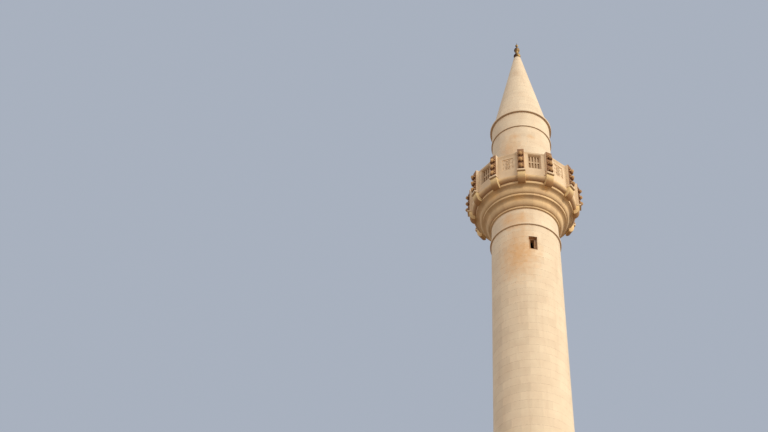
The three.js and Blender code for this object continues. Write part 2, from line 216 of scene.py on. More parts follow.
def carved(piece: Piece, tool: Piece, keep: bool = False) -> Piece:
    """Cuts a tool out of a piece and deletes the tool, unless it is to be kept."""
    pick(piece)
    cut = piece.modifiers.new("cut", "BOOLEAN")
    cut.operation = "DIFFERENCE"
    cut.solver = "EXACT"
    cut.object = tool
    bpy.ops.object.modifier_apply(modifier=cut.name)
    if not keep:
        drop(tool)
    return piece


def turned_copy(piece: Piece, name: str, azimuth: float, lift: float = 0.0) -> Piece:
    """Copies a piece with its own mesh, turned about the tower's axis and lifted."""
    copy = piece.copy()
    copy.data = piece.data.copy()
    copy.name = copy.data.name = name
    bpy.context.scene.collection.objects.link(copy)
    place = Matrix.Translation((0, 0, lift)) @ Matrix.Rotation(math.radians(azimuth), 4, "Z")
    copy.data.transform(place)
    return copy


def joined(name: str, pieces: list[Piece]) -> Piece:
    """Joins pieces into one mesh with its origin at the frame's."""
    pick(*pieces)
    bpy.ops.object.join()
    whole = bpy.context.object
    whole.name = whole.data.name = name
    return whole


def drop(*pieces: Piece) -> None:
    """Deletes template pieces and their meshes."""
    for piece in pieces:
        mesh = piece.data
        bpy.data.objects.remove(piece)
        bpy.data.meshes.remove(mesh)


def azimuth_of(point: Vector) -> float:
    """Azimuth of a point in degrees, 0 at -Y and growing towards +X."""
    return math.degrees(math.atan2(point.x, -point.y)) % 360


def radius_of(point: Vector) -> float:
    """Distance of a point from the tower's axis."""
    return math.hypot(point.x, point.y)


def mark(piece: Piece, name: str, value: Callable[[Face], float]) -> None:
    """Writes a number on every face of a piece, for its material to read."""
    mesh = piece.data
    layer = mesh.attributes.get(name) or mesh.attributes.new(name, "FLOAT", "FACE")
    layer.data.foreach_set("value", [value(face) for face in mesh.polygons])


def paint_shade(piece: Piece, extra: PaintedShade | None = None) -> None:
    """Writes how much painted shade each face's corners take: most on undersides, and where asked.

    Args:
        piece: the piece to mark, which is already shaded.
        extra: further painted shade for a place and a normal, if any.
    """
    mesh = piece.data
    layer = mesh.attributes.get(SHADE_PAINT) or mesh.attributes.new(SHADE_PAINT, "FLOAT", "CORNER")
    normals = [corner.vector.copy() for corner in mesh.corner_normals]
    # Painted shade: each corner is darkened as far as it faces down.
    painted_shade = [max(0.0, -normal.z) for normal in normals]
    if extra:
        places = [mesh.vertices[corner.vertex_index].co for corner in mesh.loops]
        painted_shade = [d + extra(place, normal) for d, place, normal in zip(painted_shade, places, normals)]
    layer.data.foreach_set("value", painted_shade)


def hole_shade(place: Vector, normal: Vector) -> float:
    """Painted shade on the side walls of a hole, which face neither out nor in."""
    outward = Vector((place.x, place.y, 0)).normalized()
    return 0.0 if abs(normal.dot(outward)) > FACING else HOLE_SHADE


def raise_stones(piece: Piece, index: Callable[[Face], int], joint: float, single: bool = False) -> None:
    """Raises each stone of a skin by a joint's depth, which leaves a groove round it.

    Args:
        piece: the wall to cut into stones.
        index: number of the stone that a face belongs to, or -1 off the skin.
        joint: half a groove's width and its depth.
        single: whether each face is a stone of its own.
    """
    rims: set[int] = set()
    for parity in (0,) if single else (0, 1):
        before = len(piece.data.polygons)
        skin = {f.index: index(f) for f in piece.data.polygons if f.index not in rims}
        chosen = {i for i, stone in skin.items() if stone >= 0 and (single or stone % 2 == parity)}
        edit_faces(piece, lambda face: face.index in chosen)
        bpy.ops.mesh.inset(thickness=joint, depth=joint, use_individual=single)
        leave_edit()
        rims |= set(range(before, len(piece.data.polygons)))
    mark(piece, JOINT, lambda face: float(face.index in rims))


def bulge(start: Point, end: Point, rise: float, steps: int) -> list[Point]:
    """Points of a round bulge between two outline points, standing out by its rise."""
    (r0, z0), (r1, z1) = start, end
    chord = math.dist(start, end)
    radius = (chord * chord / 4 + rise * rise) / (2 * rise)
    half = math.asin(chord / 2 / radius)
    along = ((r1 - r0) / chord, (z1 - z0) / chord)
    points = []
    for i in range(steps + 1):
        angle = half * (2 * i / steps - 1)
        a = radius * math.sin(angle) + chord / 2
        b = radius * math.cos(angle) - radius + rise
        points.append((r0 + along[0] * a + along[1] * b, z0 + along[1] * a - along[0] * b))
    return points


def quarter(start: Point, end: Point, hollow: bool = False) -> list[Point]:
    """A quarter ellipse that goes straight out at its start, or straight up there if it is hollow."""
    (r0, z0), (r1, z1) = start, end
    points = []
    for i in range(ARC_STEPS + 1):
        angle = math.pi / 2 * i / ARC_STEPS
        sine, cosine = math.sin(angle), math.cos(angle)
        if hollow:
            points.append((r1 + (r0 - r1) * cosine, z0 + (z1 - z0) * sine))
        else:
            points.append((r0 + (r1 - r0) * sine, z1 + (z0 - z1) * cosine))
    return points


def ring_bead(centre: Vector, radius: float, thick: float) -> Piece:
    """A torus that faces azimuth 0, round a centre."""
    bpy.ops.object.select_all(action="DESELECT")
    bpy.ops.mesh.primitive_torus_add(
        major_radius=radius, minor_radius=thick, major_segments=28, minor_segments=8, location=(0, 0, 0)
    )
    ring = bpy.context.object
    ring.data.transform(Matrix.Translation(centre) @ Matrix.Rotation(math.pi / 2, 4, "X"))
    return ring


def bud(place: Matrix, size: Triple, ribs: float = 0.0) -> Piece:
    """A rounded bud, with ribs that run down it if it has any.

    Args:
        place: where it goes and how it is turned.
        size: its half sizes.
        ribs: how deep the grooves between its ribs are, as a share of its half width.

    Returns:
        The bud's mesh.
    """
    segments = 16 if ribs else 10
    bpy.ops.object.select_all(action="DESELECT")
    bpy.ops.mesh.primitive_uv_sphere_add(segments=segments, ring_count=8, radius=1, location=(0, 0, 0))
    piece = bpy.context.object
    if ribs:
        edit_all(piece)
        bpy.ops.mesh.select_mode(type="VERT")
        bpy.ops.mesh.select_all(action="DESELECT")
        leave_edit()
        for vertex in piece.data.vertices:
            meridian = round(math.atan2(vertex.co.y, vertex.co.x) / (2 * math.pi / segments))
            vertex.select = bool(meridian % 2)
        bpy.ops.object.mode_set(mode="EDIT")
        narrow = 1 - ribs / 2
        bpy.ops.transform.resize(value=(narrow, narrow, 1), center_override=(0, 0, 0))
        leave_edit()
    piece.data.transform(place @ Matrix.Diagonal((*size, 1)))
    return piece


class NodeGraph:
    """A small helper that places and links shader nodes."""

    def __init__(self, tree: bpy.types.NodeTree) -> None:
        """Starts on an empty tree."""
        self.tree = tree

    def node(self, kind: str, inputs: dict | None = None, **settings: object) -> bpy.types.Node:
        """Adds a node, sets its settings and fills its sockets with values or links."""
        node = self.tree.nodes.new(kind)
        for key, value in settings.items():
            setattr(node, key, value)
        self.feed(node, inputs or {})
        return node

    def feed(self, node: bpy.types.Node, inputs: dict) -> None:
        """Fills a node's sockets with values or links."""
        for key, value in inputs.items():
            if isinstance(value, bpy.types.NodeSocket):
                self.tree.links.new(value, node.inputs[key])
            else:
                node.inputs[key].default_value = value

    def math(self, operation: str, a: object, b: object = 0.0, clamp: bool = False) -> bpy.types.NodeSocket:
        """A math node's result."""
        return self.node("ShaderNodeMath", {0: a, 1: b}, operation=operation, use_clamp=clamp).outputs[0]

    def noise(self, vector: bpy.types.NodeSocket, scale: float, detail: float = 4.0) -> bpy.types.NodeSocket:
        """A noise texture's value."""
        made = self.node("ShaderNodeTexNoise", {"Vector": vector, "Scale": scale, "Detail": detail})
        return made.outputs["Fac"]

    def stretch(
        self, value: object, low: float, high: float, start: float = 0.0, end: float = 1.0
    ) -> bpy.types.NodeSocket:
        """Maps a range of a value to another range, clamped."""
        inputs = {"Value": value, "From Min": low, "From Max": high, "To Min": start, "To Max": end}
        return self.node("ShaderNodeMapRange", inputs).outputs["Result"]

    def blend(self, share: object, a: object, b: object, mode: str = "MIX") -> bpy.types.NodeSocket:
        """Mixes two colours, which are the mix node's sockets 6 and 7."""
        sockets = {0: share, 6: a, 7: b}
        return self.node("ShaderNodeMix", sockets, data_type="RGBA", blend_type=mode).outputs[2]


def new_group(name: str, inputs: dict[str, object], outputs: dict[str, str]) -> bpy.types.NodeTree:
    """Makes an empty shader node group with named sockets.

    Args:
        name: the group's name.
        inputs: each input's name with its default, a number or a colour or a vector.
        outputs: each output's name with its socket type.

    Returns:
        The group's node tree, which has one input node and one output node.
    """
    tree = bpy.data.node_groups.new(name, "ShaderNodeTree")
    for key, default in inputs.items():
        kind = "NodeSocketFloat"
        if isinstance(default, tuple):
            kind = "NodeSocketColor" if len(default) == 4 else "NodeSocketVector"
        socket = tree.interface.new_socket(key, in_out="INPUT", socket_type=kind)
        socket.default_value = default
    for key, kind in outputs.items():
        tree.interface.new_socket(key, in_out="OUTPUT", socket_type=kind)
    tree.nodes.new("NodeGroupInput")
    tree.nodes.new("NodeGroupOutput")
    return tree


def new_material(name: str) -> tuple[bpy.types.Material, NodeGraph, bpy.types.Node]:
    """Makes a material, and returns it with its graph and its Principled shader."""
    made = bpy.data.materials.new(name)
    made.use_nodes = True
    return made, NodeGraph(made.node_tree), made.node_tree.nodes["Principled BSDF"]


@cache
def weathering_and_shade_group() -> bpy.types.NodeTree:
    """Stone surface: blotches, rain streaks, pores, painted shade and a tone for each stone."""
    inputs = {
        "Stone": (0.8, 0.6, 0.4, 1.0), "Shade": (0.6, 0.45, 0.3, 1.0), "Streak": (0.4, 0.3, 0.2, 1.0),
        "Shade Paint": (0.2, 0.1, 0.05, 1.0), "Tone Spread": 0.1, "Streak Amount": 0.3, "Blotch Amount": 0.4,
        "Pore Amount": 0.3, "Joint Amount": 0.4, "Shade Paint Amount": 0.7,
    }
    outputs = {"Color": "NodeSocketColor", "Roughness": "NodeSocketFloat", "Height": "NodeSocketFloat"}
    tree = new_group("weathering_and_shade", inputs, outputs)
    graph = NodeGraph(tree)
    given, result = tree.nodes["Group Input"].outputs, tree.nodes["Group Output"]
    place = graph.node("ShaderNodeTexCoord").outputs["Object"]
    drawn_down = graph.node("ShaderNodeMapping", {"Vector": place, "Scale": (1.0, 1.0, 0.09)}).outputs[0]
    tone, joint, shade_paint = (
        graph.node("ShaderNodeAttribute", attribute_name=name).outputs["Fac"] for name in (TONE, JOINT, SHADE_PAINT)
    )
    blotch = graph.stretch(graph.noise(place, 1.7, 6.0), 0.38, 0.68)
    patch = graph.math("MULTIPLY", blotch, given["Blotch Amount"])
    colour = graph.blend(patch, given["Stone"], given["Shade"])
    spread = graph.math("MULTIPLY", graph.math("SUBTRACT", tone, 0.5), given["Tone Spread"])
    lift = graph.math("ADD", spread, 1.0)
    grey = graph.node("ShaderNodeCombineColor", {0: lift, 1: lift, 2: lift}).outputs[0]
    colour = graph.blend(1.0, colour, grey, "MULTIPLY")
    streak = graph.stretch(graph.noise(drawn_down, 5.0, 5.0), 0.55, 0.8)
    grain = graph.noise(place, 42.0, 3.0)
    pores = graph.stretch(grain, 0.3, 0.42, 1.0, 0.0)
    layers = (
        (streak, "Streak Amount", "Streak"),
        (pores, "Pore Amount", "Shade"),
        (joint, "Joint Amount", "Streak"),
    )
    for share, amount, over in layers:
        colour = graph.blend(graph.math("MULTIPLY", share, given[amount]), colour, given[over])
    # Painted shade: the colour is drawn towards the shade colour by the painted-shade attribute.
    painted_shade = graph.math("MULTIPLY", shade_paint, given["Shade Paint Amount"], clamp=True)
    colour = graph.blend(painted_shade, colour, given["Shade Paint"])
    rough = graph.stretch(grain, 0.3, 0.7, 0.94, 0.8)
    height = graph.math("ADD", graph.math("MULTIPLY", grain, 0.6), graph.noise(place, 9.0, 5.0))
    graph.feed(result, {"Color": colour, "Roughness": rough, "Height": height})
    return tree


@cache
def stain_group() -> bpy.types.NodeTree:
    """A soft ragged stain round a point, as a mask."""
    inputs = {"Centre": (0.0, 0.0, 0.0), "Reach": (0.2, 0.2, 0.3), "Strength": 0.5}
    tree = new_group("stain", inputs, {"Mask": "NodeSocketFloat"})
    graph = NodeGraph(tree)
    given, result = tree.nodes["Group Input"].outputs, tree.nodes["Group Output"]
    place = graph.node("ShaderNodeTexCoord").outputs["Object"]
    away = graph.node("ShaderNodeVectorMath", {0: place, 1: given["Centre"]}, operation="SUBTRACT")
    scaled = graph.node("ShaderNodeVectorMath", {0: away.outputs[0], 1: given["Reach"]}, operation="DIVIDE")
    length = graph.node("ShaderNodeVectorMath", {0: scaled.outputs[0]}, operation="LENGTH").outputs["Value"]
    ragged = graph.math("ADD", length, graph.math("MULTIPLY", graph.noise(place, 7.0, 5.0), 1.1))
    mask = graph.stretch(ragged, 0.55, 1.6, 1.0, 0.0)
    graph.feed(result, {"Mask": graph.math("MULTIPLY", mask, given["Strength"])})
    return tree


@dataclass(frozen=True)
class Stain:
    """An orange stain on the stone.

    Attributes:
        azimuth: where it lies round the tower, in degrees.
        radius: its distance from the axis.
        height: its height above the astragal.
        reach: how far it spreads each way.
        strength: how much of the stone's colour it takes.
    """

    azimuth: float
    radius: float
    height: float
    reach: Triple
    strength: float

    def centre(self) -> Triple:
        """Its middle in the frame."""
        angle = math.radians(self.azimuth)
        return (self.radius * math.sin(angle), -self.radius * math.cos(angle), ASTRAGAL + self.height)


@dataclass(frozen=True)
class StoneFinish:
    """A weathered stone, darkened by painted shade on undersides and where a piece asks for it.

    Attributes:
        name: the material's name.
        stone: the clean stone's colour.
        shade: the colour of blotches, pores and joints.
        streak: the colour of the rain streaks.
        spread: how far one stone's tone lies from the next.
        streaks: strength of the streaks.
        blotches: strength of the blotches.
        joints: strength of the joints' colour.
        painted_shade: strength of the painted shade on undersides and in hollows.
        shade_paint: the colour of the painted shade.
        bump: depth of the surface's relief.
        stains: single stains laid over it.
        stain: the colour of those stains.
    """

    name: str
    stone: Colour
    shade: Colour
    streak: Colour
    spread: float = 0.12
    streaks: float = 0.3
    blotches: float = 0.45
    joints: float = 0.35
    painted_shade: float = 0.6
    shade_paint: Colour = (0.3, 0.15, 0.07, 1.0)
    bump: float = 0.004
    stains: tuple[Stain, ...] = ()
    stain: Colour = (0.77, 0.43, 0.16, 1.0)

    @cache
    def material(self) -> bpy.types.Material:
        """The material, made on its first use."""
        made, graph, shader = new_material(self.name)
        inputs = {
            "Stone": self.stone, "Shade": self.shade, "Streak": self.streak, "Shade Paint": self.shade_paint,
            "Tone Spread": self.spread, "Streak Amount": self.streaks, "Blotch Amount": self.blotches,
            "Joint Amount": self.joints, "Shade Paint Amount": self.painted_shade,
        }
        worn_and_shaded = graph.node("ShaderNodeGroup", inputs, node_tree=weathering_and_shade_group())
        colour = worn_and_shaded.outputs["Color"]
        for stain in self.stains:
            spots = {"Centre": stain.centre(), "Reach": stain.reach, "Strength": stain.strength}
            spot = graph.node("ShaderNodeGroup", spots, node_tree=stain_group())
            colour = graph.blend(spot.outputs["Mask"], colour, self.stain)
        bump = graph.node("ShaderNodeBump", {"Height": worn_and_shaded.outputs["Height"], "Distance": self.bump})
        rough = worn_and_shaded.outputs["Roughness"]
        graph.feed(shader, {"Base Color": colour, "Roughness": rough, "Normal": bump.outputs["Normal"]})
        return made


@dataclass(frozen=True)
class BronzeFinish:
    """Aged bronze with a brown patina that leaves brighter patches, and painted shade that darkens it towards
    the left.

    Attributes:
        name: the material's name.
        bright: the bare metal's colour.
        patina_and_shade: the patina's colour, which is also the painted shade's.
        metallic: how metallic the whole is.
        lean: how much more of that colour, as painted shade, it takes for each metre to the left.
    """

    name: str = "aged_bronze"
    bright: Colour = (0.5, 0.33, 0.12, 1.0)
    patina_and_shade: Colour = (0.08, 0.04, 0.03, 1.0)
    metallic: float = 0.6
    lean: float = 1.8

    @cache
    def material(self) -> bpy.types.Material:
        """The material, made on its first use."""
        made, graph, shader = new_material(self.name)
        place = graph.node("ShaderNodeTexCoord").outputs["Object"]
        across = graph.node("ShaderNodeSeparateXYZ", {"Vector": place}).outputs["X"]
        # Painted shade: the patina's colour grows towards the left side.
        worn_and_shaded = graph.math("SUBTRACT", graph.noise(place, 6.0, 5.0), graph.math("MULTIPLY", across, self.lean))
        share = graph.stretch(worn_and_shaded, 0.38, 0.62)
        colour = graph.blend(share, self.bright, self.patina_and_shade)
        rough = graph.stretch(share, 0.0, 1.0, 0.45, 0.7)
        graph.feed(shader, {"Metallic": self.metallic, "Base Color": colour, "Roughness": rough})
        return made


# Each finish's painted_shade and shade_paint give the strength and colour of its painted shade.
CREAM = StoneFinish(
    name="cream_limestone",
    stone=(0.87, 0.72, 0.495, 1.0),
    shade=(0.72, 0.55, 0.36, 1.0),
    painted_shade=0.7,
    streak=(0.6, 0.41, 0.25, 1.0),
    stain=(0.78, 0.46, 0.2, 1.0),
    spread=0.065,
    joints=0.02,
    stains=(
        Stain(-14.0, 1.19, 0.3, (0.75, 0.5, 0.5), 0.5),
        Stain(-12.0, 1.2, -1.3, (0.9, 0.6, 1.4), 0.85),
        Stain(-22.0, 1.12, 4.2, (0.6, 0.4, 0.9), 0.6),
        Stain(-29.0, 1.19, 0.42, (0.26, 0.3, 0.32), 0.55),
        Stain(-3.0, 1.19, 0.4, (0.2, 0.3, 0.32), 0.65),
        Stain(-2.0, 1.2, -1.15, (0.5, 0.4, 0.42), 0.4),
        Stain(-4.0, 1.2, -1.6, (0.4, 0.4, 0.2), 0.3),
        Stain(-3.0, 1.2, -0.35, (0.14, 0.4, 0.28), 0.35),
        Stain(-10.0, 1.12, 4.83, (0.26, 0.3, 0.2), 0.5),
        Stain(21.0, 1.12, 4.78, (0.18, 0.3, 0.18), 0.5),
    ),
)
GOLDEN = StoneFinish(
    name="golden_limestone",
    stone=(0.79, 0.57, 0.295, 1.0),
    shade=(0.56, 0.36, 0.2, 1.0),
    streak=(0.45, 0.27, 0.13, 1.0),
    stain=(0.85, 0.5, 0.16, 1.0),
    spread=0.2,
    streaks=0.35,
    painted_shade=0.47,
    stains=(
        Stain(29.0, 1.66, 1.47, (0.3, 0.25, 0.16), 0.5),
        Stain(-8.0, 1.45, 1.12, (0.4, 0.3, 0.12), 0.5),
        Stain(-40.0, 1.6, 1.42, (0.3, 0.3, 0.14), 0.5),
    ),
)
OLIVE = StoneFinish(
    name="olive_limestone",
    stone=(0.92, 0.69, 0.34, 1.0),
    shade=(0.7, 0.5, 0.22, 1.0),
    streak=(0.45, 0.27, 0.13, 1.0),
    shade_paint=(0.34, 0.17, 0.06, 1.0),
    spread=0.1,
    painted_shade=0.45,
)
HONEY = StoneFinish(
    name="honey_limestone",
    stone=(0.84, 0.65, 0.415, 1.0),
    shade=(0.64, 0.46, 0.27, 1.0),
    streak=(0.5, 0.32, 0.17, 1.0),
    shade_paint=(0.34, 0.2, 0.09, 1.0),
    spread=0.08,
    painted_shade=0.85,
)
BROWN = StoneFinish(
    name="brown_carving",
    stone=(0.66, 0.4, 0.16, 1.0),
    shade=(0.24, 0.12, 0.05, 1.0),
    streak=(0.16, 0.09, 0.04, 1.0),
    spread=0.2,
    blotches=0.7,
    bump=0.008,
)
FINISHES = {Slot.LIMESTONE: CREAM, Slot.OCHRE: GOLDEN, Slot.CARVED: BROWN, Slot.BRONZE: BronzeFinish()}


def dress(
    piece: Piece, slot: Slot, nodes: list[str], smooth: float = 32.0, extra_shade: PaintedShade | None = None,
    finish: StoneFinish | None = None,
) -> None:
    """Gives a finished piece its material and its place in the frame.

    Args:
        piece: the finished mesh.
        slot: the record's slot that its finish belongs to.
        nodes: the solids that it stands for.
        smooth: faces that meet under this angle are shaded as one, in degrees.
        extra_shade: further painted shade for a place and a normal, if any.
        finish: its finish, if it isn't the slot's usual one.
    """
    for name, usual in ((TONE, 0.5), (JOINT, 0.0)):
        if name not in piece.data.attributes:
            mark(piece, name, lambda face: usual)
    pick(piece)
    bpy.ops.object.shade_smooth_by_angle(angle=math.radians(smooth))
    paint_shade(piece, extra_shade)
    piece.data.materials.clear()
    piece.data.materials.append((finish or FINISHES[slot]).material())
    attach(piece, BODY)
    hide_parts(*nodes)
    LOG.info("%s: %d faces, for %s", piece.name, len(piece.data.polygons), ", ".join(nodes))


def give_tones(ring: Piece, stones: int, chance: random.Random) -> None:
    """Gives each stone of a ring a tone of its own."""
    width = 360 / stones
    tones = [chance.random() for _ in range(stones)]
    mark(ring, TONE, lambda face: tones[int(azimuth_of(face.center) // width) % stones])


@dataclass
class RoundCourse:
    """One ring of curved stones.

    Attributes:
        foot: height of its bed.
        top: height of its upper bed.
        radius_foot: outer radius at the bed.
        radius_top: outer radius at the upper bed.
        stones: how many stones go round, an even number.
        facets: flat facets to each stone.
        wall: the wall's thickness, or 0 for one that reaches in to the bore.
        joint: half a joint's width.
    """

    foot: float
    top: float
    radius_foot: float
    radius_top: float
    stones: int = 12
    facets: int = 4
    wall: float = 0.0
    joint: float = 0.0013

    def build(self, name: str) -> Piece:
        """Spins the ring and raises its stones."""
        inner_foot = self.radius_foot - self.wall if self.wall else BORE_R
        inner_top = self.radius_top - self.wall if self.wall else BORE_R
        outline = [
            (inner_foot, self.foot), (self.radius_foot - self.joint, self.foot),
            (self.radius_top - self.joint, self.top), (inner_top, self.top),
        ]
        ring = spun(name, outline, self.stones * self.facets)
        skin_r = min((self.radius_foot + inner_foot) / 2, self.radius_top - SKIN)

        def stone(face: Face) -> int:
            """Number of the stone that an outer face belongs to, or -1 for a bed or an inner face."""
            if abs(face.normal.z) > BED_NORMAL or radius_of(face.center) < skin_r:
                return -1
            return int(azimuth_of(face.center) // (360 / self.stones))

        raise_stones(ring, stone, self.joint)
        return ring


def stack(
    name: str, course: RoundCourse, count: int, chance: random.Random, cuts: list[Piece] | None = None
) -> Piece:
    """Lays equal courses on one another with staggered joints and cuts openings through them.

    Args:
        name: the wall's name.
        course: the lowest course.
        count: how many courses there are.
        chance: the source of the stones' tones.
        cuts: tools that cut the openings.

    Returns:
        The wall as one mesh.
    """
    template = course.build(name + "_course")
    height = course.top - course.foot
    rings = []
    for i in range(count):
        ring = turned_copy(template, f"{name}_{i}", 0.0, i * height)
        give_tones(ring, course.stones, chance)
        ring.data.transform(Matrix.Rotation(math.radians(180 / course.stones * (i % 2)), 4, "Z"))
        foot, top = course.foot + i * height, course.top + i * height
        for tool in cuts or []:
            heights = [v.co.z for v in tool.data.vertices]
            if min(heights) < top - TOUCH and max(heights) > foot + TOUCH:
                carved(ring, tool, keep=True)
        rings.append(ring)
    drop(template)
    return joined(name, rings)


@dataclass
class Shaft:
    """The round shaft in three lifts with a slit window in each.

    Attributes:
        radius: its outer radius.
        courses: courses in each lift.
        lifts: the lifts, from below.
        window_azimuth: azimuth of the top window, in degrees.
        window_turn: turn from each lift's window to the next, in degrees.
        window_below: how far a window's middle lies under its lift's top.
        window_size: width and height of a window's recess.
        recess: depth of the recess.
        slot_size: width and height of the slot at the recess's back.
        slot_rise: how far the slot's middle lies over the recess's.
        slot_shade: painted shade on the slot's walls.
        head_shade: further painted shade on undersides.
        recess_shade: painted shade in the recess.
    """

    radius: float = 1.2
    courses: int = 20
    lifts: tuple[str, ...] = ("lower", "middle", "upper")
    window_azimuth: float = 13.5
    window_turn: float = 120.0
    window_below: float = 0.845
    window_size: Point = (0.29, 0.59)
    recess: float = 0.145
    slot_size: Point = (0.138, 0.4)
    slot_rise: float = 0.065
    slot_shade: float = 1.6
    head_shade: float = 1.2
    recess_shade: float = 1.0

    def window_tools(self, azimuth: float, height: float) -> list[Piece]:
        """Tools for a square-cut recess and the slot behind it."""
        wide, tall = self.window_size
        low = (-wide / 2, -self.radius - PAST, height - tall / 2)
        recess = cuboid("recess", low, (wide / 2, self.recess - self.radius, height + tall / 2))
        wide, tall = self.slot_size
        foot = height - tall / 2 + self.slot_rise
        slot = cuboid("slot", (-wide / 2, -self.radius, foot), (wide / 2, PAST - BORE_R, foot + tall))
        for tool in (recess, slot):
            tool.data.transform(Matrix.Rotation(math.radians(azimuth), 4, "Z"))
        return [recess, slot]

    def window_shade(self, place: Vector, normal: Vector) -> float:
        """Painted shade on the walls of the windows' slots, in their recesses and on undersides."""
        half_turn, radius = self.window_turn / 2, radius_of(place)
        turn = (azimuth_of(place) - self.window_azimuth + half_turn) % self.window_turn - half_turn
        aside = radius * abs(math.sin(math.radians(turn)))
        side_wall = abs(Vector((place.x, place.y, 0)).normalized().dot(normal)) < 0.3
        behind_recess = BORE_R + 0.01 < radius < self.radius - self.recess + 0.01
        if side_wall and behind_recess and aside < self.slot_size[0] / 2 + 0.002:
            return self.slot_shade
        return self.head_shade * max(0.0, -normal.z) + self.recess_shade * (radius < self.radius - 0.02)

    def build(self) -> None:
        """Stacks the lifts and cuts their windows."""
        chance = random.Random(SEED)
        for i, lift in enumerate(self.lifts):
            nodes = [f"shaft_{lift}_front", f"shaft_{lift}_back"]
            low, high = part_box(nodes[0])
            foot, top = round(low.z, 2), round(high.z, 2)
            course = RoundCourse(foot, foot + (top - foot) / self.courses, self.radius, self.radius)
            azimuth = self.window_azimuth + (len(self.lifts) - 1 - i) * self.window_turn
            tools = self.window_tools(azimuth, top - self.window_below)
            wall = stack(f"shaft_{lift}_stones", course, self.courses, chance, tools)
            dress(wall, Slot.LIMESTONE, nodes, extra_shade=self.window_shade)
            drop(*tools)


@dataclass
class Corbels:
    """The neck, the two corbel rolls and the cornice under the gallery, with heights above the astragal.

    Attributes:
        steps: facets of a ring.
        few: stones round a plain ring.
        many: stones round a roll or the cornice.
        neck_r: the neck's outer radius.
        band: radius and top of the astragal band.
        band_slope: rise from the band's top to the neck.
        neck_courses: courses of the neck.
        low_fillet: radius, foot and top of the fillet under the lower roll.
        mid_fillet: the same of the one between the rolls.
        high_fillet: the same of the one over the upper roll.
        lower_waist: radius and height where the lower roll turns from round to hollow.
        upper_waist: the same of the upper roll.
        roll_step: how far a roll stands out from the fillet below and back from the one above.
        cornice: radius, top of the rounded part and top of the cornice.
        cornice_step: how far the cornice stands out from the fillet below.
        cornice_shade: further painted shade on its underside.
        nose: the arris taken off a fillet.
        joint: half a joint's width.
    """

    steps: int = 96
    few: int = 12
    many: int = 24
    neck_r: float = 1.188
    band: Point = (1.25, 0.065)
    band_slope: float = 0.02
    neck_courses: int = 3
    low_fillet: Triple = (1.245, 0.8, 0.872)
    mid_fillet: Triple = (1.51, 1.168, 1.258)
    high_fillet: Triple = (1.752, 1.525, 1.625)
    lower_waist: Point = (1.36, 1.06)
    upper_waist: Point = (1.6, 1.42)
    roll_step: float = 0.012
    cornice: Triple = (1.895, 1.755, 1.79)
    cornice_step: float = 0.008
    cornice_shade: float = 0.9
    nose: float = 0.006
    joint: float = 0.0025

    def ring(self, name: str, outside: list[Point], stones: int, chance: random.Random) -> Piece:
        """Spins an outline above the astragal and cuts it into stones."""
        outline = [(r, ASTRAGAL + z) for r, z in outside]
        foot, top = outline[0][1], outline[-1][1]
        piece = spun(name, [*outline, (BORE_R, top), (BORE_R, foot)], self.steps)
        width = 360 / stones

        def stone(face: Face) -> int:
            """Number of the stone that an outer face belongs to."""
            flat_bed = abs(face.normal.z) > 0.99 and face.area > 0.002
            if flat_bed or radius_of(face.center) < BORE_R + 0.1:
                return -1
            return int(azimuth_of(face.center) // width)

        raise_stones(piece, stone, self.joint)
        give_tones(piece, stones, chance)
        return piece

    def edge(self, radius: float, foot: float, top: float) -> list[Point]:
        """A fillet's face with its two arrises taken off."""
        n = self.nose
        return [(radius - n, foot), (radius, foot + n), (radius, top - n), (radius - n, top)]

    def roll(self, below: Triple, waist: Point, above: Triple) -> list[Point]:
        """A corbel roll: round up to its waist, then hollow out to the fillet above it."""
        start, end = (below[0] + self.roll_step, below[2]), (above[0] - self.roll_step, above[1])
        low, high = quarter(start, waist), quarter(waist, end, hollow=True)
        return [*low, *high[1:], *self.edge(*above)]

    def under_shade(self, place: Vector, normal: Vector) -> float:
        """Further painted shade on the cornice's underside."""
        return self.cornice_shade * max(0.0, -normal.z)

    def build(self) -> None:
        """Makes the neck, the rolls and the cornice."""
        chance = random.Random(SEED + 1)
        band_r, band_top = self.band
        band = [*self.edge(band_r, 0.0, band_top), (self.neck_r, band_top + self.band_slope)]
        neck = [self.ring("astragal_band", band, self.few, chance)]
        foot, top = ASTRAGAL + band_top + self.band_slope, ASTRAGAL + self.low_fillet[1]
        height = (top - foot) / self.neck_courses
        course = RoundCourse(foot, foot + height, self.neck_r, self.neck_r, facets=8)
        neck.append(stack("neck_stones", course, self.neck_courses, chance))
        dress(joined("gallery_neck_stones", neck), Slot.LIMESTONE, ["gallery_neck"])
        fillet = self.ring("gallery_neck_fillet", self.edge(*self.low_fillet), self.few, chance)
        dress(fillet, Slot.OCHRE, ["gallery_neck"])
        rolls = {
            "corbel_lower": self.roll(self.low_fillet, self.lower_waist, self.mid_fillet),
            "corbel_upper": self.roll(self.mid_fillet, self.upper_waist, self.high_fillet),
        }
        for node, outside in rolls.items():
            dress(self.ring(f"{node}_stones", outside, self.many, chance), Slot.OCHRE, [node])
        radius, round_top, top = self.cornice
        start = (self.high_fillet[0] + self.cornice_step, self.high_fillet[2])
        outside = [*quarter(start, (radius, round_top)), (radius, top)]
        cornice = self.ring("gallery_cornice_stones", outside, self.many, chance)
        dress(cornice, Slot.OCHRE, ["gallery_cornice"], extra_shade=self.under_shade)


@dataclass(frozen=True)
class GalleryPaintedShade:
    """How much painted shade the parts of the gallery take.

    Attributes:
        under: taken off the painted shade on undersides of panels, which keeps them light.
        edge: painted shade on copings and on the sides of a sunk field.
        niche: painted shade at the back of a niche.
        slot: painted shade in the slots behind it.
        inlay: painted shade on all of the carving in a sunk field.
        hollow: how much of a hollow's painted shade is added to that.
        console: painted shade on a console's underside.
        console_spread: how fast it comes as the console turns downwards.
        bud: painted shade on the buds, close to their post.
        bud_fade: how fast it goes away from the post, for a bud's depth.
    """

    under: float = -0.85
    edge: float = 0.15
    niche: float = 0.42
    slot: float = 0.95
    inlay: float = 0.16
    hollow: float = 0.4
    console: float = 1.6
    console_spread: float = 2.2
    bud: float = 1.6
    bud_fade: float = 1.4


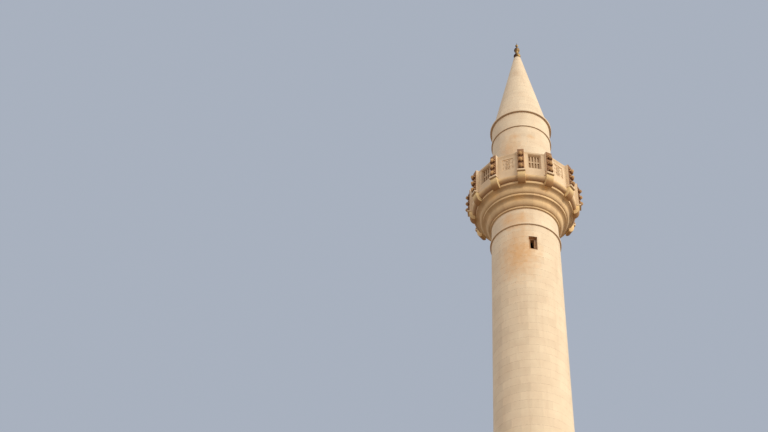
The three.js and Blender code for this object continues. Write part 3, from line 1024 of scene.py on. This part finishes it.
@dataclass
class Parapet:
    """The gallery's twelve panels and twelve posts, with heights above the astragal.

    Attributes:
        face: distance of a panel's face from the axis.
        thick: a panel's thickness.
        foot: height of the foot of panels and posts.
        top: height of a panel's top.
        half_width: half a panel's width at its face.
        back_width: half its width at its back.
        coping: height of the coping and how far it stands out.
        arris: the arris taken off the coping, and the bevel of posts and consoles.
        panel_bevel: the bevel of a panel's edges.
        field: half width, foot and top of a carved panel's sunk field.
        field_depth: its depth.
        rosette_r: a rosette's radius.
        rim: half the thickness of the ring round it.
        eye: radius and half the thickness of the ring at its middle.
        petal: half sizes of its petals.
        niche: half width, foot and top of a lattice panel's niche at its mouth.
        niche_depth: its depth.
        niche_back: half width and top at its back.
        columns: slots in a row.
        rows: rows of slots.
        slot: width, height and depth of a slot.
        slot_grid: step between columns, foot of the lower row and step between rows.
        post_width: a post's width.
        post_face: distance of its face from the axis.
        post_back: distance of its back.
        post_top: height of its top.
        shelf: width, reach, foot and top of a post's shelf.
        console: width, face, shoulder, foot and radius at the foot of the console under it.
        console_back: distance of the console's back from the axis.
        boss_first: height of a post's lowest bud.
        boss_pitch: step to the next.
        boss_count: buds on a post.
        boss_half: half a bud's height.
        boss_out: how far it stands out.
        boss_width: its width with its leaves.
        painted_shade: how much painted shade the parts take.
    """

    face: float = 1.85
    thick: float = 0.18
    foot: float = 1.792
    top: float = 3.015
    half_width: float = 0.3736
    back_width: float = 0.3253
    coping: Point = (0.085, 0.01)
    arris: float = 0.008
    panel_bevel: float = 0.005
    field: Triple = (0.208, 2.2135, 2.7695)
    field_depth: float = 0.03
    rosette_r: float = 0.1
    rim: float = 0.01
    eye: Point = (0.03, 0.013)
    petal: Triple = (0.018, 0.017, 0.027)
    niche: Triple = (0.24, 2.195, 2.93)
    niche_depth: float = 0.09
    niche_back: Point = (0.2, 2.89)
    columns: int = 4
    rows: int = 2
    slot: Triple = (0.06, 0.255, 0.045)
    slot_grid: Triple = (0.105, 2.299, 0.325)
    post_width: float = 0.235
    post_face: float = 1.995
    post_back: float = 1.73
    post_top: float = 3.045
    shelf: tuple[float, ...] = (0.29, 2.07, 1.858, 1.936)
    console: tuple[float, ...] = (0.27, 2.0, 1.8, 1.455, 1.8)
    console_back: float = 1.77
    boss_first: float = 2.115
    boss_pitch: float = 0.325
    boss_count: int = 3
    boss_half: float = 0.15
    boss_out: float = 0.16
    boss_width: float = 0.2
    painted_shade: GalleryPaintedShade = GalleryPaintedShade()

    def panel_body(self) -> Piece:
        """A slab with a coping and splayed ends."""
        z0, z1 = ASTRAGAL + self.foot, ASTRAGAL + self.top
        high_rail, out = self.coping
        points = [
            (self.face - self.thick, z0), (self.face, z0), (self.face, z1 - high_rail),
            (self.face + out, z1 - high_rail + self.arris), (self.face + out, z1 - self.arris),
            (self.face + out - self.arris, z1), (self.face - self.thick, z1),
        ]
        panel = slab("panel", points, 2 * self.half_width)
        edit_faces(panel, lambda f: f.normal.y > 0.9)
        narrow = self.back_width / self.half_width
        bpy.ops.transform.resize(value=(narrow, 1, 1), center_override=(0, -self.face, z0))
        leave_edit()
        return panel

    def field_tool(self) -> Piece:
        """A tool that sinks the field of a carved panel."""
        half, low, high = self.field
        corner = (-half, -self.face - self.thick, ASTRAGAL + low)
        return cuboid("field", corner, (half, -self.face + self.field_depth, ASTRAGAL + high))

    def niche_tool(self) -> Piece:
        """A tool that sinks the niche of a lattice panel, which narrows towards its back."""
        half, low, high = self.niche
        back_half, back_high = self.niche_back
        corner = (-half, -self.face - self.thick, ASTRAGAL + low)
        tool = cuboid("niche", corner, (half, -self.face, ASTRAGAL + high))
        edit_faces(tool, lambda f: f.normal.y > 0.9)
        bpy.ops.mesh.extrude_region_move(TRANSFORM_OT_translate={"value": (0, self.niche_depth, 0)})
        shrink = (back_half / half, 1, (back_high - low) / (high - low))
        bpy.ops.transform.resize(value=shrink, center_override=(0, -self.face, ASTRAGAL + low))
        leave_edit()
        return tool

    def lattice_panel(self) -> Piece:
        """A panel with a niche and rows of blind slots at the niche's back."""
        panel = carved(self.panel_body(), self.niche_tool())
        wide, tall, deep = self.slot
        pitch, foot, step = self.slot_grid
        back = self.niche_depth - self.face
        for row in range(self.rows):
            for column in range(self.columns):
                x = (column - (self.columns - 1) / 2) * pitch
                z = ASTRAGAL + foot + row * step
                low, high = (x - wide / 2, back - PAST, z), (x + wide / 2, back + deep, z + tall)
                carved(panel, cuboid("slot", low, high))
        return bevelled(panel, self.panel_bevel, 1)

    def rosette(self, centre: Vector) -> list[Piece]:
        """A ring round eight petals, with a smaller ring at its middle."""
        made = [ring_bead(centre, self.rosette_r, self.rim), ring_bead(centre, *self.eye)]
        for i in range(PETALS):
            turn = Matrix.Rotation(2 * math.pi * i / PETALS, 4, "Y")
            place = Matrix.Translation(centre) @ turn @ Matrix.Translation((0, 0, 0.6 * self.rosette_r))
            made.append(bud(place, self.petal))
        return made

    def medallions(self) -> Piece:
        """Two rosettes over each other between pairs of leaves, in low relief on a sunk field."""
        half, low, high = self.field
        middle = Vector((0, -self.face + self.field_depth, ASTRAGAL + (low + high) / 2))
        made = []
        for end in (-1, 1):
            centre = middle + Vector((0, 0, end * self.rosette_r))
            made += self.rosette(centre)
            for side in (-1, 1):
                beside = centre + Vector((side * (half - 0.045), 0, 0))
                beyond = middle + Vector((side * 0.07, 0, end * (2 * self.rosette_r + 0.035)))
                for place, lean, half_long in ((beside, 0.25, 0.085), (beyond, 1.25, 0.075)):
                    leaning = Matrix.Translation(place) @ Matrix.Rotation(side * end * lean, 4, "Y")
                    made.append(bud(leaning, (0.02, 0.016, half_long)))
        return joined("medallions", made)

    def post_body(self) -> Piece:
        """A post with its shelf."""
        half = self.post_width / 2
        low = (-half, -self.post_face, ASTRAGAL + self.foot)
        core = cuboid("core", low, (half, -self.post_back, ASTRAGAL + self.post_top))
        width, reach, foot, top = self.shelf
        low = (-width / 2, -reach, ASTRAGAL + foot)
        shelf = cuboid("shelf", low, (width / 2, -self.face - 0.05, ASTRAGAL + top))
        for part in (core, shelf):
            bevelled(part, self.arris)
        return joined("post", [core, shelf])

    def bracket(self) -> Piece:
        """The console under a post's shelf."""
        width, face, shoulder, foot, foot_r = self.console
        curve = quarter((foot_r, foot), (face, shoulder))
        back, bed = self.console_back, self.shelf[2]
        points = [(back, foot), *curve, (face, bed), (self.face + 0.05, bed), (back, 1.78)]
        return bevelled(slab("bracket", [(r, ASTRAGAL + z) for r, z in points], width), self.arris)

    def bosses(self) -> Piece:
        """Three carved buds, each a round head under a tail between curled leaves, on a flat strip."""
        made = []
        head, tail, leaf = self.boss_out / 2, self.boss_half * 0.8, self.boss_width / 4
        lean = Matrix.Translation((0, -0.035, 0.06)) @ Matrix.Rotation(math.radians(-24), 4, "X")
        for i in range(self.boss_count):
            height = ASTRAGAL + self.boss_first + i * self.boss_pitch
            centre = Matrix.Translation((0, -self.post_face, height))
            made.append(bud(centre @ Matrix.Translation((0, -head, -0.04)), (leaf * 1.25, head, 0.085), 0.35))
            made.append(bud(centre @ lean, (leaf, 0.045, tail), 0.35))
            for side in (-1, 1):
                curl = Matrix.Rotation(-side * math.radians(28), 4, "Y")
                lower = Matrix.Translation((side * leaf * 1.3, -0.045, -0.04)) @ curl
                upper = Matrix.Translation((side * leaf * 1.25, -0.02, 0.08)) @ curl
                made.append(bud(centre @ lower, (leaf * 0.55, 0.055, 0.075)))
                made.append(bud(centre @ upper, (leaf * 0.5, 0.035, 0.08)))
            if i + 1 < self.boss_count:
                made.append(ring_bead(centre @ Vector((0, 0, self.boss_pitch / 2 + 0.02)), 0.03, 0.016))
        half = self.post_width / 2 - 0.002
        low = (-half, -self.post_face - 0.012, ASTRAGAL + self.shelf[3])
        strip = cuboid("strip", low, (half, -self.post_face + 0.01, ASTRAGAL + self.post_top - 0.012))
        made.append(bevelled(strip, 0.006, 1))
        return joined("bosses", made)

    def panel_shade(self, place: Vector, normal: Vector) -> float:
        """Painted shade on a panel: most of it taken off its undersides, and some on its coping and on the
        sides of its sunk field.
        """
        if normal.z < -0.5:
            return self.painted_shade.under
        coping = place.z > ASTRAGAL + self.top - self.coping[0] - 0.01
        return self.painted_shade.edge if coping or hole_shade(place, normal) else 0.0

    def niche_shade(self, place: Vector, normal: Vector) -> float:
        """Painted shade on a lattice panel: some at the back of its niche, and most in the slots."""
        angle = math.radians((azimuth_of(place) // BAY_DEG + 0.5) * BAY_DEG)
        depth = self.face - place.x * math.sin(angle) + place.y * math.cos(angle) - self.niche_depth
        level = self.niche[1] < place.z - ASTRAGAL < self.niche[2]
        if not level or depth < -0.01 or depth + self.niche_depth > self.thick - 0.01:
            return self.panel_shade(place, normal)
        return self.painted_shade.niche if depth < 0.01 else self.painted_shade.slot

    def inlay_shade(self, place: Vector, normal: Vector) -> float:
        """Painted shade on what fills a field: some everywhere, and more in the hollows."""
        return self.painted_shade.inlay + self.painted_shade.hollow * hole_shade(place, normal)

    def console_shade(self, place: Vector, normal: Vector) -> float:
        """Painted shade on the rounded underside of a console."""
        return self.painted_shade.console * min(1.0, self.painted_shade.console_spread * max(0.0, -normal.z))

    def bud_shade(self, place: Vector, normal: Vector) -> float:
        """Painted shade on the carving, which is darkest close to the post."""
        angle = math.radians(round(azimuth_of(place) / BAY_DEG) * BAY_DEG)
        out = place.x * math.sin(angle) - place.y * math.cos(angle) - self.post_face
        return self.painted_shade.bud * max(0.0, 1.0 - self.painted_shade.bud_fade * out / self.boss_out)

    def build(self) -> None:
        """Makes one bay of each kind and turns copies of it round the gallery."""
        chance = random.Random(SEED + 2)
        plain = bevelled(carved(self.panel_body(), self.field_tool()), self.panel_bevel, 1)
        latticed, medallions = self.lattice_panel(), self.medallions()
        post, bracket, bosses = self.post_body(), self.bracket(), self.bosses()
        for i in range(BAYS):
            azimuth = (i + 0.5) * BAY_DEG
            node = f"parapet_panel_{i + 1}"
            tone = chance.random()
            # Each panel gets its own painted shade: the lattice panels' in their niches and slots.
            template, painted_shade = (plain, self.panel_shade) if i % 2 else (latticed, self.niche_shade)
            panel = turned_copy(template, f"panel_slab_{i + 1}", azimuth)
            mark(panel, TONE, lambda face: tone)
            dress(panel, Slot.LIMESTONE, [node], extra_shade=painted_shade, finish=HONEY)
            if i % 2:
                inlay = turned_copy(medallions, f"panel_medallions_{i + 1}", azimuth)
                dress(inlay, Slot.LIMESTONE, [node], extra_shade=self.inlay_shade, finish=HONEY)
            node = f"gallery_post_{i + 1}"
            stand = turned_copy(post, f"post_body_{i + 1}", i * BAY_DEG)
            mark(stand, TONE, lambda face: 1 - tone)
            dress(stand, Slot.LIMESTONE, [node], finish=HONEY)
            console = turned_copy(bracket, f"post_console_{i + 1}", i * BAY_DEG)
            dress(console, Slot.LIMESTONE, [node], extra_shade=self.console_shade, finish=OLIVE)
            carving = turned_copy(bosses, f"post_bosses_{i + 1}", i * BAY_DEG)
            dress(carving, Slot.CARVED, [node], 60, extra_shade=self.bud_shade)
        drop(plain, latticed, medallions, post, bracket, bosses)


@dataclass
class Drum:
    """The upper drum with its doorway, the gallery's floor, the frieze and the eave.

    Attributes:
        radius: the drum's outer radius.
        courses: courses of the drum.
        door: width and height of the doorway at the back.
        floor_top: height of the gallery's floor above the astragal, as the other heights.
        floor_back: how far the floor's edge lies inside its solid's.
        band: radius and top of the band under the frieze.
        band_slope: rise from the band's top to the frieze.
        frieze_foot: height of the band's foot.
        frieze_r: the frieze's outer radius.
        frieze_top: height of its top.
        eave_r: the eave's outer radius.
        eave_step: how far its top stands out from the spire.
        fascia_top: height of the top of its face.
        eave_top: height of its top.
    """

    radius: float = 1.12
    courses: int = 12
    door: Point = (0.62, 1.7)
    floor_top: float = 1.89
    floor_back: float = 0.06
    band: Point = (1.162, 5.428)
    band_slope: float = 0.008
    frieze_foot: float = 5.36
    frieze_r: float = 1.127
    frieze_top: float = 6.206
    eave_r: float = 1.205
    eave_step: float = 0.012
    fascia_top: float = 6.276
    eave_top: float = 6.3

    def build(self) -> None:
        """Stacks the drum and crowns it."""
        chance = random.Random(SEED + 3)
        foot, top = ASTRAGAL + self.floor_top, ASTRAGAL + self.frieze_foot
        course = RoundCourse(foot, foot + (top - foot) / self.courses, self.radius, self.radius)
        width, height = self.door
        tool = cuboid("door", (-width / 2, 0.5, foot - 0.1), (width / 2, 1.5, foot + height))
        nodes = ["drum_front", "drum_back_left", "drum_back_right", "drum_door_head"]
        dress(stack("drum_stones", course, self.courses, chance, [tool]), Slot.LIMESTONE, nodes)
        drop(tool)
        corbels = Corbels()
        band_r, band_top = self.band
        band = corbels.edge(band_r, self.frieze_foot, band_top)
        band.append((self.frieze_r, band_top + self.band_slope))
        parts =[corbels.ring("frieze_band", band, corbels.few, chance)]
        low, high = ASTRAGAL + band_top + self.band_slope, ASTRAGAL + self.frieze_top
        wall = RoundCourse(low, (low + high) / 2, self.frieze_r, self.frieze_r, facets=8)
        parts.append(stack("frieze_wall", wall, 2, chance))
        dress(joined("frieze_stones", parts), Slot.LIMESTONE, ["frieze_course"])
        eave = corbels.edge(self.eave_r, self.frieze_top, self.fascia_top)
        eave.append((Spire().radius_at(self.eave_top) + self.eave_step, self.eave_top))
        dress(corbels.ring("eave_stones", eave, corbels.few, chance), Slot.LIMESTONE, ["eave_course"])
        low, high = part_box("gallery_floor")
        edge_r = -low.y - self.floor_back
        bed = [(BORE_R, low.z), (edge_r, low.z), (edge_r, high.z), (BORE_R, high.z)]
        dress(spun("gallery_paving", bed, BAYS * 6), Slot.LIMESTONE, ["gallery_floor"])


@dataclass
class Spire:
    """The conical stone roof, with heights above the astragal.

    Attributes:
        slope: its radius for each metre under the apex.
        apex: where its sides would meet.
        foot: height of its foot.
        joint_height: height of the bed between its two parts.
        top: height of its top.
        wall: its wall's thickness.
        lower: stones in each course of its lower part.
        upper: stones in each course of its upper part.
    """

    slope: float = 0.193
    apex: float = 12.05
    foot: float = 6.3
    joint_height: float = 8.8
    top: float = 11.25
    wall: float = 0.185
    lower: tuple[int, ...] = (12, 12, 12, 12, 12, 12, 8, 8)
    upper: tuple[int, ...] = (8, 8, 8, 6, 6, 4, 4, 4)

    def radius_at(self, height: float) -> float:
        """Outer radius at a height above the astragal."""
        return self.slope * (self.apex - height)

    def part(
        self, name: str, foot: float, top: float, stones: tuple[int, ...], chance: random.Random
    ) -> Piece:
        """Courses of ever fewer stones between two heights."""
        height = (top - foot) / len(stones)
        rings = []
        for i, count in enumerate(stones):
            z0, z1 = foot + i * height, foot + (i + 1) * height
            wall = min(self.wall, self.radius_at(z1) - 0.03)
            course = RoundCourse(
                ASTRAGAL + z0, ASTRAGAL + z1, self.radius_at(z0), self.radius_at(z1),
                stones=count, facets=48 // count, wall=wall, joint=0.003,
            )
            ring = course.build(f"{name}_{i}")
            give_tones(ring, count, chance)
            ring.data.transform(Matrix.Rotation(math.radians(180 / count * (i % 2)), 4, "Z"))
            rings.append(ring)
        return joined(name, rings)

    def build(self) -> None:
        """Makes the two parts of the spire."""
        chance = random.Random(SEED + 4)
        parts = {
            "spire_lower": (self.foot, self.joint_height, self.lower),
            "spire_upper": (self.joint_height, self.top, self.upper),
        }
        for node, (foot, top, stones) in parts.items():
            dress(self.part(f"{node}_stones", foot, top, stones, chance), Slot.LIMESTONE, [node])


@dataclass(frozen=True)
class Ball:
    """One ball of the finial.

    Attributes:
        height: its middle's height over the finial's foot.
        radius: its radius.
        flat: its height as a share of its width.
        under: the stem's radius under it.
        over: the stem's radius over it.
    """

    height: float
    radius: float
    flat: float
    under: float
    over: float

    def outline(self, steps: int) -> list[Point]:
        """Its outline between its two necks, with a collar bead on the upper one."""
        start, end = -math.acos(self.under / self.radius), math.acos(self.over / self.radius)
        points = []
        for i in range(steps + 1):
            angle = start + (end - start) * i / steps
            height = self.height + self.radius * self.flat * math.sin(angle)
            points.append((self.radius * math.cos(angle), height))
        top = points[-1][1]
        bead = 0.3 * self.over
        points += bulge((self.over, top + 0.004), (self.over, top + 0.004 + 2 * bead), 0.9 * bead, 4)
        return points


@dataclass
class Finial:
    """Three metal balls on a stem."""

    foot: float = 11.25
    foot_r: float = 0.095
    balls: tuple[Ball, ...] = (
        Ball(0.21, 0.15, 0.9, 0.08, 0.068),
        Ball(0.655, 0.122, 1.05, 0.068, 0.032),
        Ball(0.985, 0.062, 1.1, 0.032, 0.02),
    )
    tip: float = 1.21
    steps: int = 32
    arc_steps: int = 14

    def build(self) -> None:
        """Spins the finial."""
        outline = [(0.0, 0.0), (self.foot_r, 0.0), (self.foot_r, 0.018), (self.balls[0].under, 0.05)]
        for ball in self.balls:
            outline += ball.outline(self.arc_steps)
        outline += [(0.0, self.tip)]
        points = [(r, ASTRAGAL + self.foot + z) for r, z in outline]
        dress(spun("finial_metal", points, self.steps), Slot.BRONZE, ["finial"], 50)


@dataclass
class Foot:
    """The plinth, the step, the square pedestal and the block that leads to the round shaft.

    Attributes:
        joint: half a joint's width and depth.
        tone_step: faces this close share a tone.
        plinth_back: how far the plinth's stones lie inside its solid's sides.
        plinth_cuts: places of its upright joints.
        pedestal_side: the pedestal's width.
        pedestal_wall: its wall's thickness.
        pedestal_courses: how many courses it has.
        pedestal_cuts: places of the upright joints in its odd courses.
        cut_pitch: step from one of them to the next.
        door: width of the doorway, height to its arch's spring and rise of the arch.
        arch_steps: steps of the arch.
        transition_courses: courses of the block over the pedestal.
        transition_cuts: places of its upright joints.
        ring_radii: radii of the shaft's foot ring: its edge, its bead's sides, its slope and its top.
        ring_edge: height of that ring's edge and of its slope.
        bead_margin: distance of the bead from the ring's beds.
        bead_out: how far the bead stands out.
    """

    joint: float = 0.005
    tone_step: float = 0.3
    plinth_back: float = 0.006
    plinth_cuts: tuple[float, ...] = (-1.1, -0.37, 0.37, 1.1)
    pedestal_side: float = 3.3
    pedestal_wall: float = 0.6
    pedestal_courses: int = 15
    pedestal_cuts: tuple[float, ...] = (-1.32, -0.66, 0.0, 0.66, 1.32)
    cut_pitch: float = 0.66
    door: Triple = (0.9, 1.75, 0.26)
    arch_steps: int = 24
    transition_courses: int = 8
    transition_cuts: tuple[float, ...] = (-0.9, -0.3, 0.3, 0.9)
    ring_radii: tuple[float, ...] = (1.34, 1.31, 1.3, 1.25)
    ring_edge: float = 0.03
    bead_margin: float = 0.06
    bead_out: float = 0.088

    def tube(self, name: str, half: float, wall: float, foot: float, top: float) -> Piece:
        """A square tube from a cube whose ends are inset and bridged."""
        tube = cuboid(name, (-half, -half, foot), (half, half, top))
        edit_faces(tube, lambda f: abs(f.normal.z) > 0.9)
        bpy.ops.mesh.inset(thickness=wall)
        bpy.ops.mesh.bridge_edge_loops()
        leave_edit()
        close_up(tube)
        return tube

    def split(self, piece: Piece, places: tuple[float, ...]) -> None:
        """Cuts a piece into stones by upright planes along X and Y."""
        for place in places:
            for normal in ((1, 0, 0), (0, 1, 0)):
                edit_all(piece)
                bpy.ops.mesh.bisect(plane_co=Vector(normal) * place, plane_no=normal)
                leave_edit()

    def raise_outer(self, piece: Piece, least: float, chance: random.Random) -> None:
        """Raises each outer face as a stone and gives it a tone.

        Args:
            piece: the walls to cut into stones.
            least: how far out from the middle, along X or Y, an outer face lies at least.
            chance: the source of the stones' tones.
        """

        def outer(face: Face) -> int:
            """Zero on the outside, and -1 elsewhere."""
            reach = max(abs(face.center.x), abs(face.center.y))
            return 0 if abs(face.normal.z) < 0.7 and reach > least else -1

        raise_stones(piece, outer, self.joint, single=True)
        tones: dict[tuple[int, int, int], float] = {}

        def tone(face: Face) -> float:
            """A tone for the stone at a face's place."""
            key = tuple(round(axis / self.tone_step) for axis in face.center)
            return tones.setdefault(key, chance.random())

        mark(piece, TONE, tone)

    def pedestal(self, chance: random.Random) -> None:
        """Square courses with an arched doorway.

        The lowest course comes out empty, a fault that leaves a gap over the plinth: its tube is opened
        in vertex mode, in which the doorway's outline was drawn, so the bridge deletes the whole cube.
        """
        low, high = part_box("pedestal_wall_left")
        foot = low.z
        height = (high.z - foot) / self.pedestal_courses
        half = self.pedestal_side / 2 - self.joint
        width, spring, rise = self.door
        arch = []
        for i in range(self.arch_steps + 1):
            x = width / 2 * (2 * i / self.arch_steps - 1)
            arch.append((x, foot + spring + rise * math.sqrt(max(0.0, 1 - (2 * x / width) ** 2))))
        sill = foot - 0.1
        tool = slab("doorway", [(width / 2, sill), *reversed(arch), (-width / 2, sill)], 1.2)
        place = Matrix.Translation((0, -self.pedestal_side / 2, 0))
        tool.data.transform(place @ Matrix.Rotation(math.pi / 2, 4, "Z"))
        between = tuple(cut + self.cut_pitch / 2 for cut in self.pedestal_cuts[:-1])
        rings = []
        for i in range(self.pedestal_courses):
            z0 = foot + i * height
            ring = self.tube(f"pedestal_{i}", half, self.pedestal_wall - self.joint, z0, z0 + height)
            self.split(ring, self.pedestal_cuts if i % 2 else between)
            self.raise_outer(ring, half - 0.02, chance)
            if z0 < foot + spring + rise:
                carved(ring, tool, keep=True)
            rings.append(ring)
        drop(tool)
        walls = ["wall_left", "wall_right", "wall_back"]
        nodes = [f"pedestal_{wall}" for wall in walls] + ["door_jamb_left", "door_jamb_right", "door_head"]
        dress(joined("pedestal_stones", rings), Slot.LIMESTONE, nodes)

    def transition(self, chance: random.Random) -> None:
        """Courses of the chamfered block, cut from a merged copy of the solid."""
        low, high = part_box("transition_block")
        base = turned_copy(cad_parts["transition_block"], "transition_stones", 0.0)
        close_up(base)
        edit_all(base)
        bpy.ops.mesh.dissolve_limited(angle_limit=math.radians(1))
        leave_edit()
        height = (high.z - low.z) / self.transition_courses
        for i in range(1, self.transition_courses):
            edit_all(base)
            bpy.ops.mesh.bisect(plane_co=(0, 0, low.z + i * height), plane_no=(0, 0, 1))
            leave_edit()
        self.split(base, self.transition_cuts)
        self.raise_outer(base, 0.95, chance)
        dress(base, Slot.LIMESTONE, ["transition_block"], 20)

    def base_ring(self, chance: random.Random) -> None:
        """The ring at the shaft's foot, with a bead between its edge and its slope."""
        foot, top = (corner.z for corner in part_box("shaft_base_ring"))
        edge_r, bead_r, slope_r, top_r = self.ring_radii
        start, end = (bead_r, foot + self.bead_margin), (bead_r, top - self.bead_margin)
        outline = [
            (edge_r, foot), (edge_r, foot + self.ring_edge), *bulge(start, end, self.bead_out, ARC_STEPS),
            (slope_r, top - self.ring_edge), (top_r, top),
        ]
        corbels = Corbels()
        outside = [(r, z - ASTRAGAL) for r, z in outline]
        ring = corbels.ring("base_ring_stones", outside, corbels.few, chance)
        dress(ring, Slot.LIMESTONE, ["shaft_base_ring"])

    def build(self) -> None:
        """Makes everything under the shaft."""
        chance = random.Random(SEED + 5)
        low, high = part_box("plinth")
        inside = Vector((self.plinth_back, self.plinth_back, 0))
        plinth = cuboid("plinth_stones", tuple(low + inside), tuple(high - inside))
        self.split(plinth, self.plinth_cuts)
        self.raise_outer(plinth, 1.8, chance)
        dress(plinth, Slot.LIMESTONE, ["plinth"])
        low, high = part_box("door_step")
        step = bevelled(cuboid("door_step_stone", tuple(low), tuple(high)), 0.012)
        dress(step, Slot.LIMESTONE, ["door_step"])
        self.pedestal(chance)
        self.transition(chance)
        self.base_ring(chance)


@dataclass(frozen=True)
class Sun:
    """A soft sun.

    Attributes:
        name: the lamp's name.
        azimuth: azimuth that it shines from, in degrees.
        elevation: its height over the horizon, in degrees.
        strength: its strength.
        spread: its width in the sky, in degrees.
        colour: its colour.
    """

    name: str
    azimuth: float
    elevation: float
    strength: float
    spread: float
    colour: Triple

    def build(self) -> None:
        """Adds the lamp."""
        data = bpy.data.lights.new(self.name, "SUN")
        data.energy = self.strength
        data.angle = math.radians(self.spread)
        data.color = self.colour
        lamp = bpy.data.objects.new(self.name, data)
        bpy.context.scene.collection.objects.link(lamp)
        a, e = math.radians(self.azimuth), math.radians(self.elevation)
        towards = Vector((math.sin(a) * math.cos(e), -math.cos(a) * math.cos(e), math.sin(e)))
        lamp.rotation_mode = "QUATERNION"
        lamp.rotation_quaternion = towards.to_track_quat("Z", "Y")


@dataclass
class Studio:
    """The camera, the lights, the background and the floor.

    Attributes:
        distance: level distance from the camera to the tower's axis.
        below: how far the camera lies below the astragal.
        azimuth: the camera's azimuth round the tower, in degrees.
        pitch: how far it looks up, in degrees.
        roll: its roll, in degrees.
        aside: angle from its level sight line to the tower's axis, in degrees.
        focal_px: its focal length in pixels of the photograph's frame.
        frame_px: that frame's width in pixels.
        sensor_mm: width of the camera's sensor.
        suns: the lamps.
        sky: the background's colour.
        floor_r: the floor's radius.
        floor_drop: how far it lies under the tower.
        floor_colour: its colour.
        floor_roughness: its roughness.
    """

    distance: float = 24.92
    below: float = 23.1
    azimuth: float = 0.88
    pitch: float = 44.51
    roll: float = 5.79
    aside: float = 11.8
    focal_px: float = 950.0
    frame_px: float = 768.0
    sensor_mm: float = 36.0
    suns: tuple[Sun, ...] = (
        Sun("key", 38.0, 13.0, 1.55, 22.0, (1.0, 0.88, 0.76)),
        Sun("side", 82.0, 13.0, 1.4, 35.0, (1.0, 0.88, 0.76)),
        Sun("fill", -50.0, 8.0, 0.45, 70.0, (1.0, 0.6, 0.33)),
    )
    sky: Colour = (0.395, 0.44, 0.52, 1.0)
    floor_r: float = 90.0
    floor_drop: float = 0.002
    floor_colour: Colour = (0.6, 0.5, 0.39, 1.0)
    floor_roughness: float = 0.9

    def camera(self) -> None:
        """Places the camera as the photograph's was."""
        at = math.radians(self.azimuth)
        turn = math.radians(self.azimuth + self.aside)
        pitch, roll = math.radians(self.pitch), math.radians(self.roll)
        level = Vector((-math.sin(turn), math.cos(turn), 0))
        right = Vector((math.cos(turn), math.sin(turn), 0))
        ahead = level * math.cos(pitch) + Vector((0, 0, math.sin(pitch)))
        up = right.cross(ahead)
        across = right * math.cos(roll) + up * math.sin(roll)
        over = up * math.cos(roll) - right * math.sin(roll)
        data = bpy.data.cameras.new("camera")
        data.sensor_width = self.sensor_mm
        data.lens = self.focal_px / self.frame_px * self.sensor_mm
        data.clip_end = 500.0
        camera = bpy.data.objects.new("camera", data)
        bpy.context.scene.collection.objects.link(camera)
        place = Vector((self.distance * math.sin(at), -self.distance * math.cos(at), ASTRAGAL - self.below))
        camera.matrix_world = Matrix.Translation(place) @ Matrix((across, over, -ahead)).transposed().to_4x4()
        bpy.context.scene.camera = camera

    def build(self) -> None:
        """Sets up the studio."""
        self.camera()
        for sun in self.suns:
            sun.build()
        world = bpy.data.worlds.new("studio")
        world.use_nodes = True
        world.node_tree.nodes["Background"].inputs["Color"].default_value = self.sky
        bpy.context.scene.world = world
        bpy.context.scene.view_settings.view_transform = "Standard"
        bpy.ops.object.select_all(action="DESELECT")
        place = (0, 0, -self.floor_drop)
        bpy.ops.mesh.primitive_circle_add(vertices=96, radius=self.floor_r, fill_type="NGON", location=place)
        floor = bpy.context.object
        floor.name = "studio_floor"
        material, graph, shader = new_material("pale_floor")
        graph.feed(shader, {"Base Color": self.floor_colour, "Roughness": self.floor_roughness})
        floor.data.materials.append(material)


def main() -> None:
    """Builds the tower from the ground up."""
    logging.basicConfig(level=logging.INFO, format="%(message)s")
    Studio().build()
    for part in (Foot(), Shaft(), Corbels(), Parapet(), Drum(), Spire(), Finial()):
        part.build()


if __name__ == "__main__":
    main()
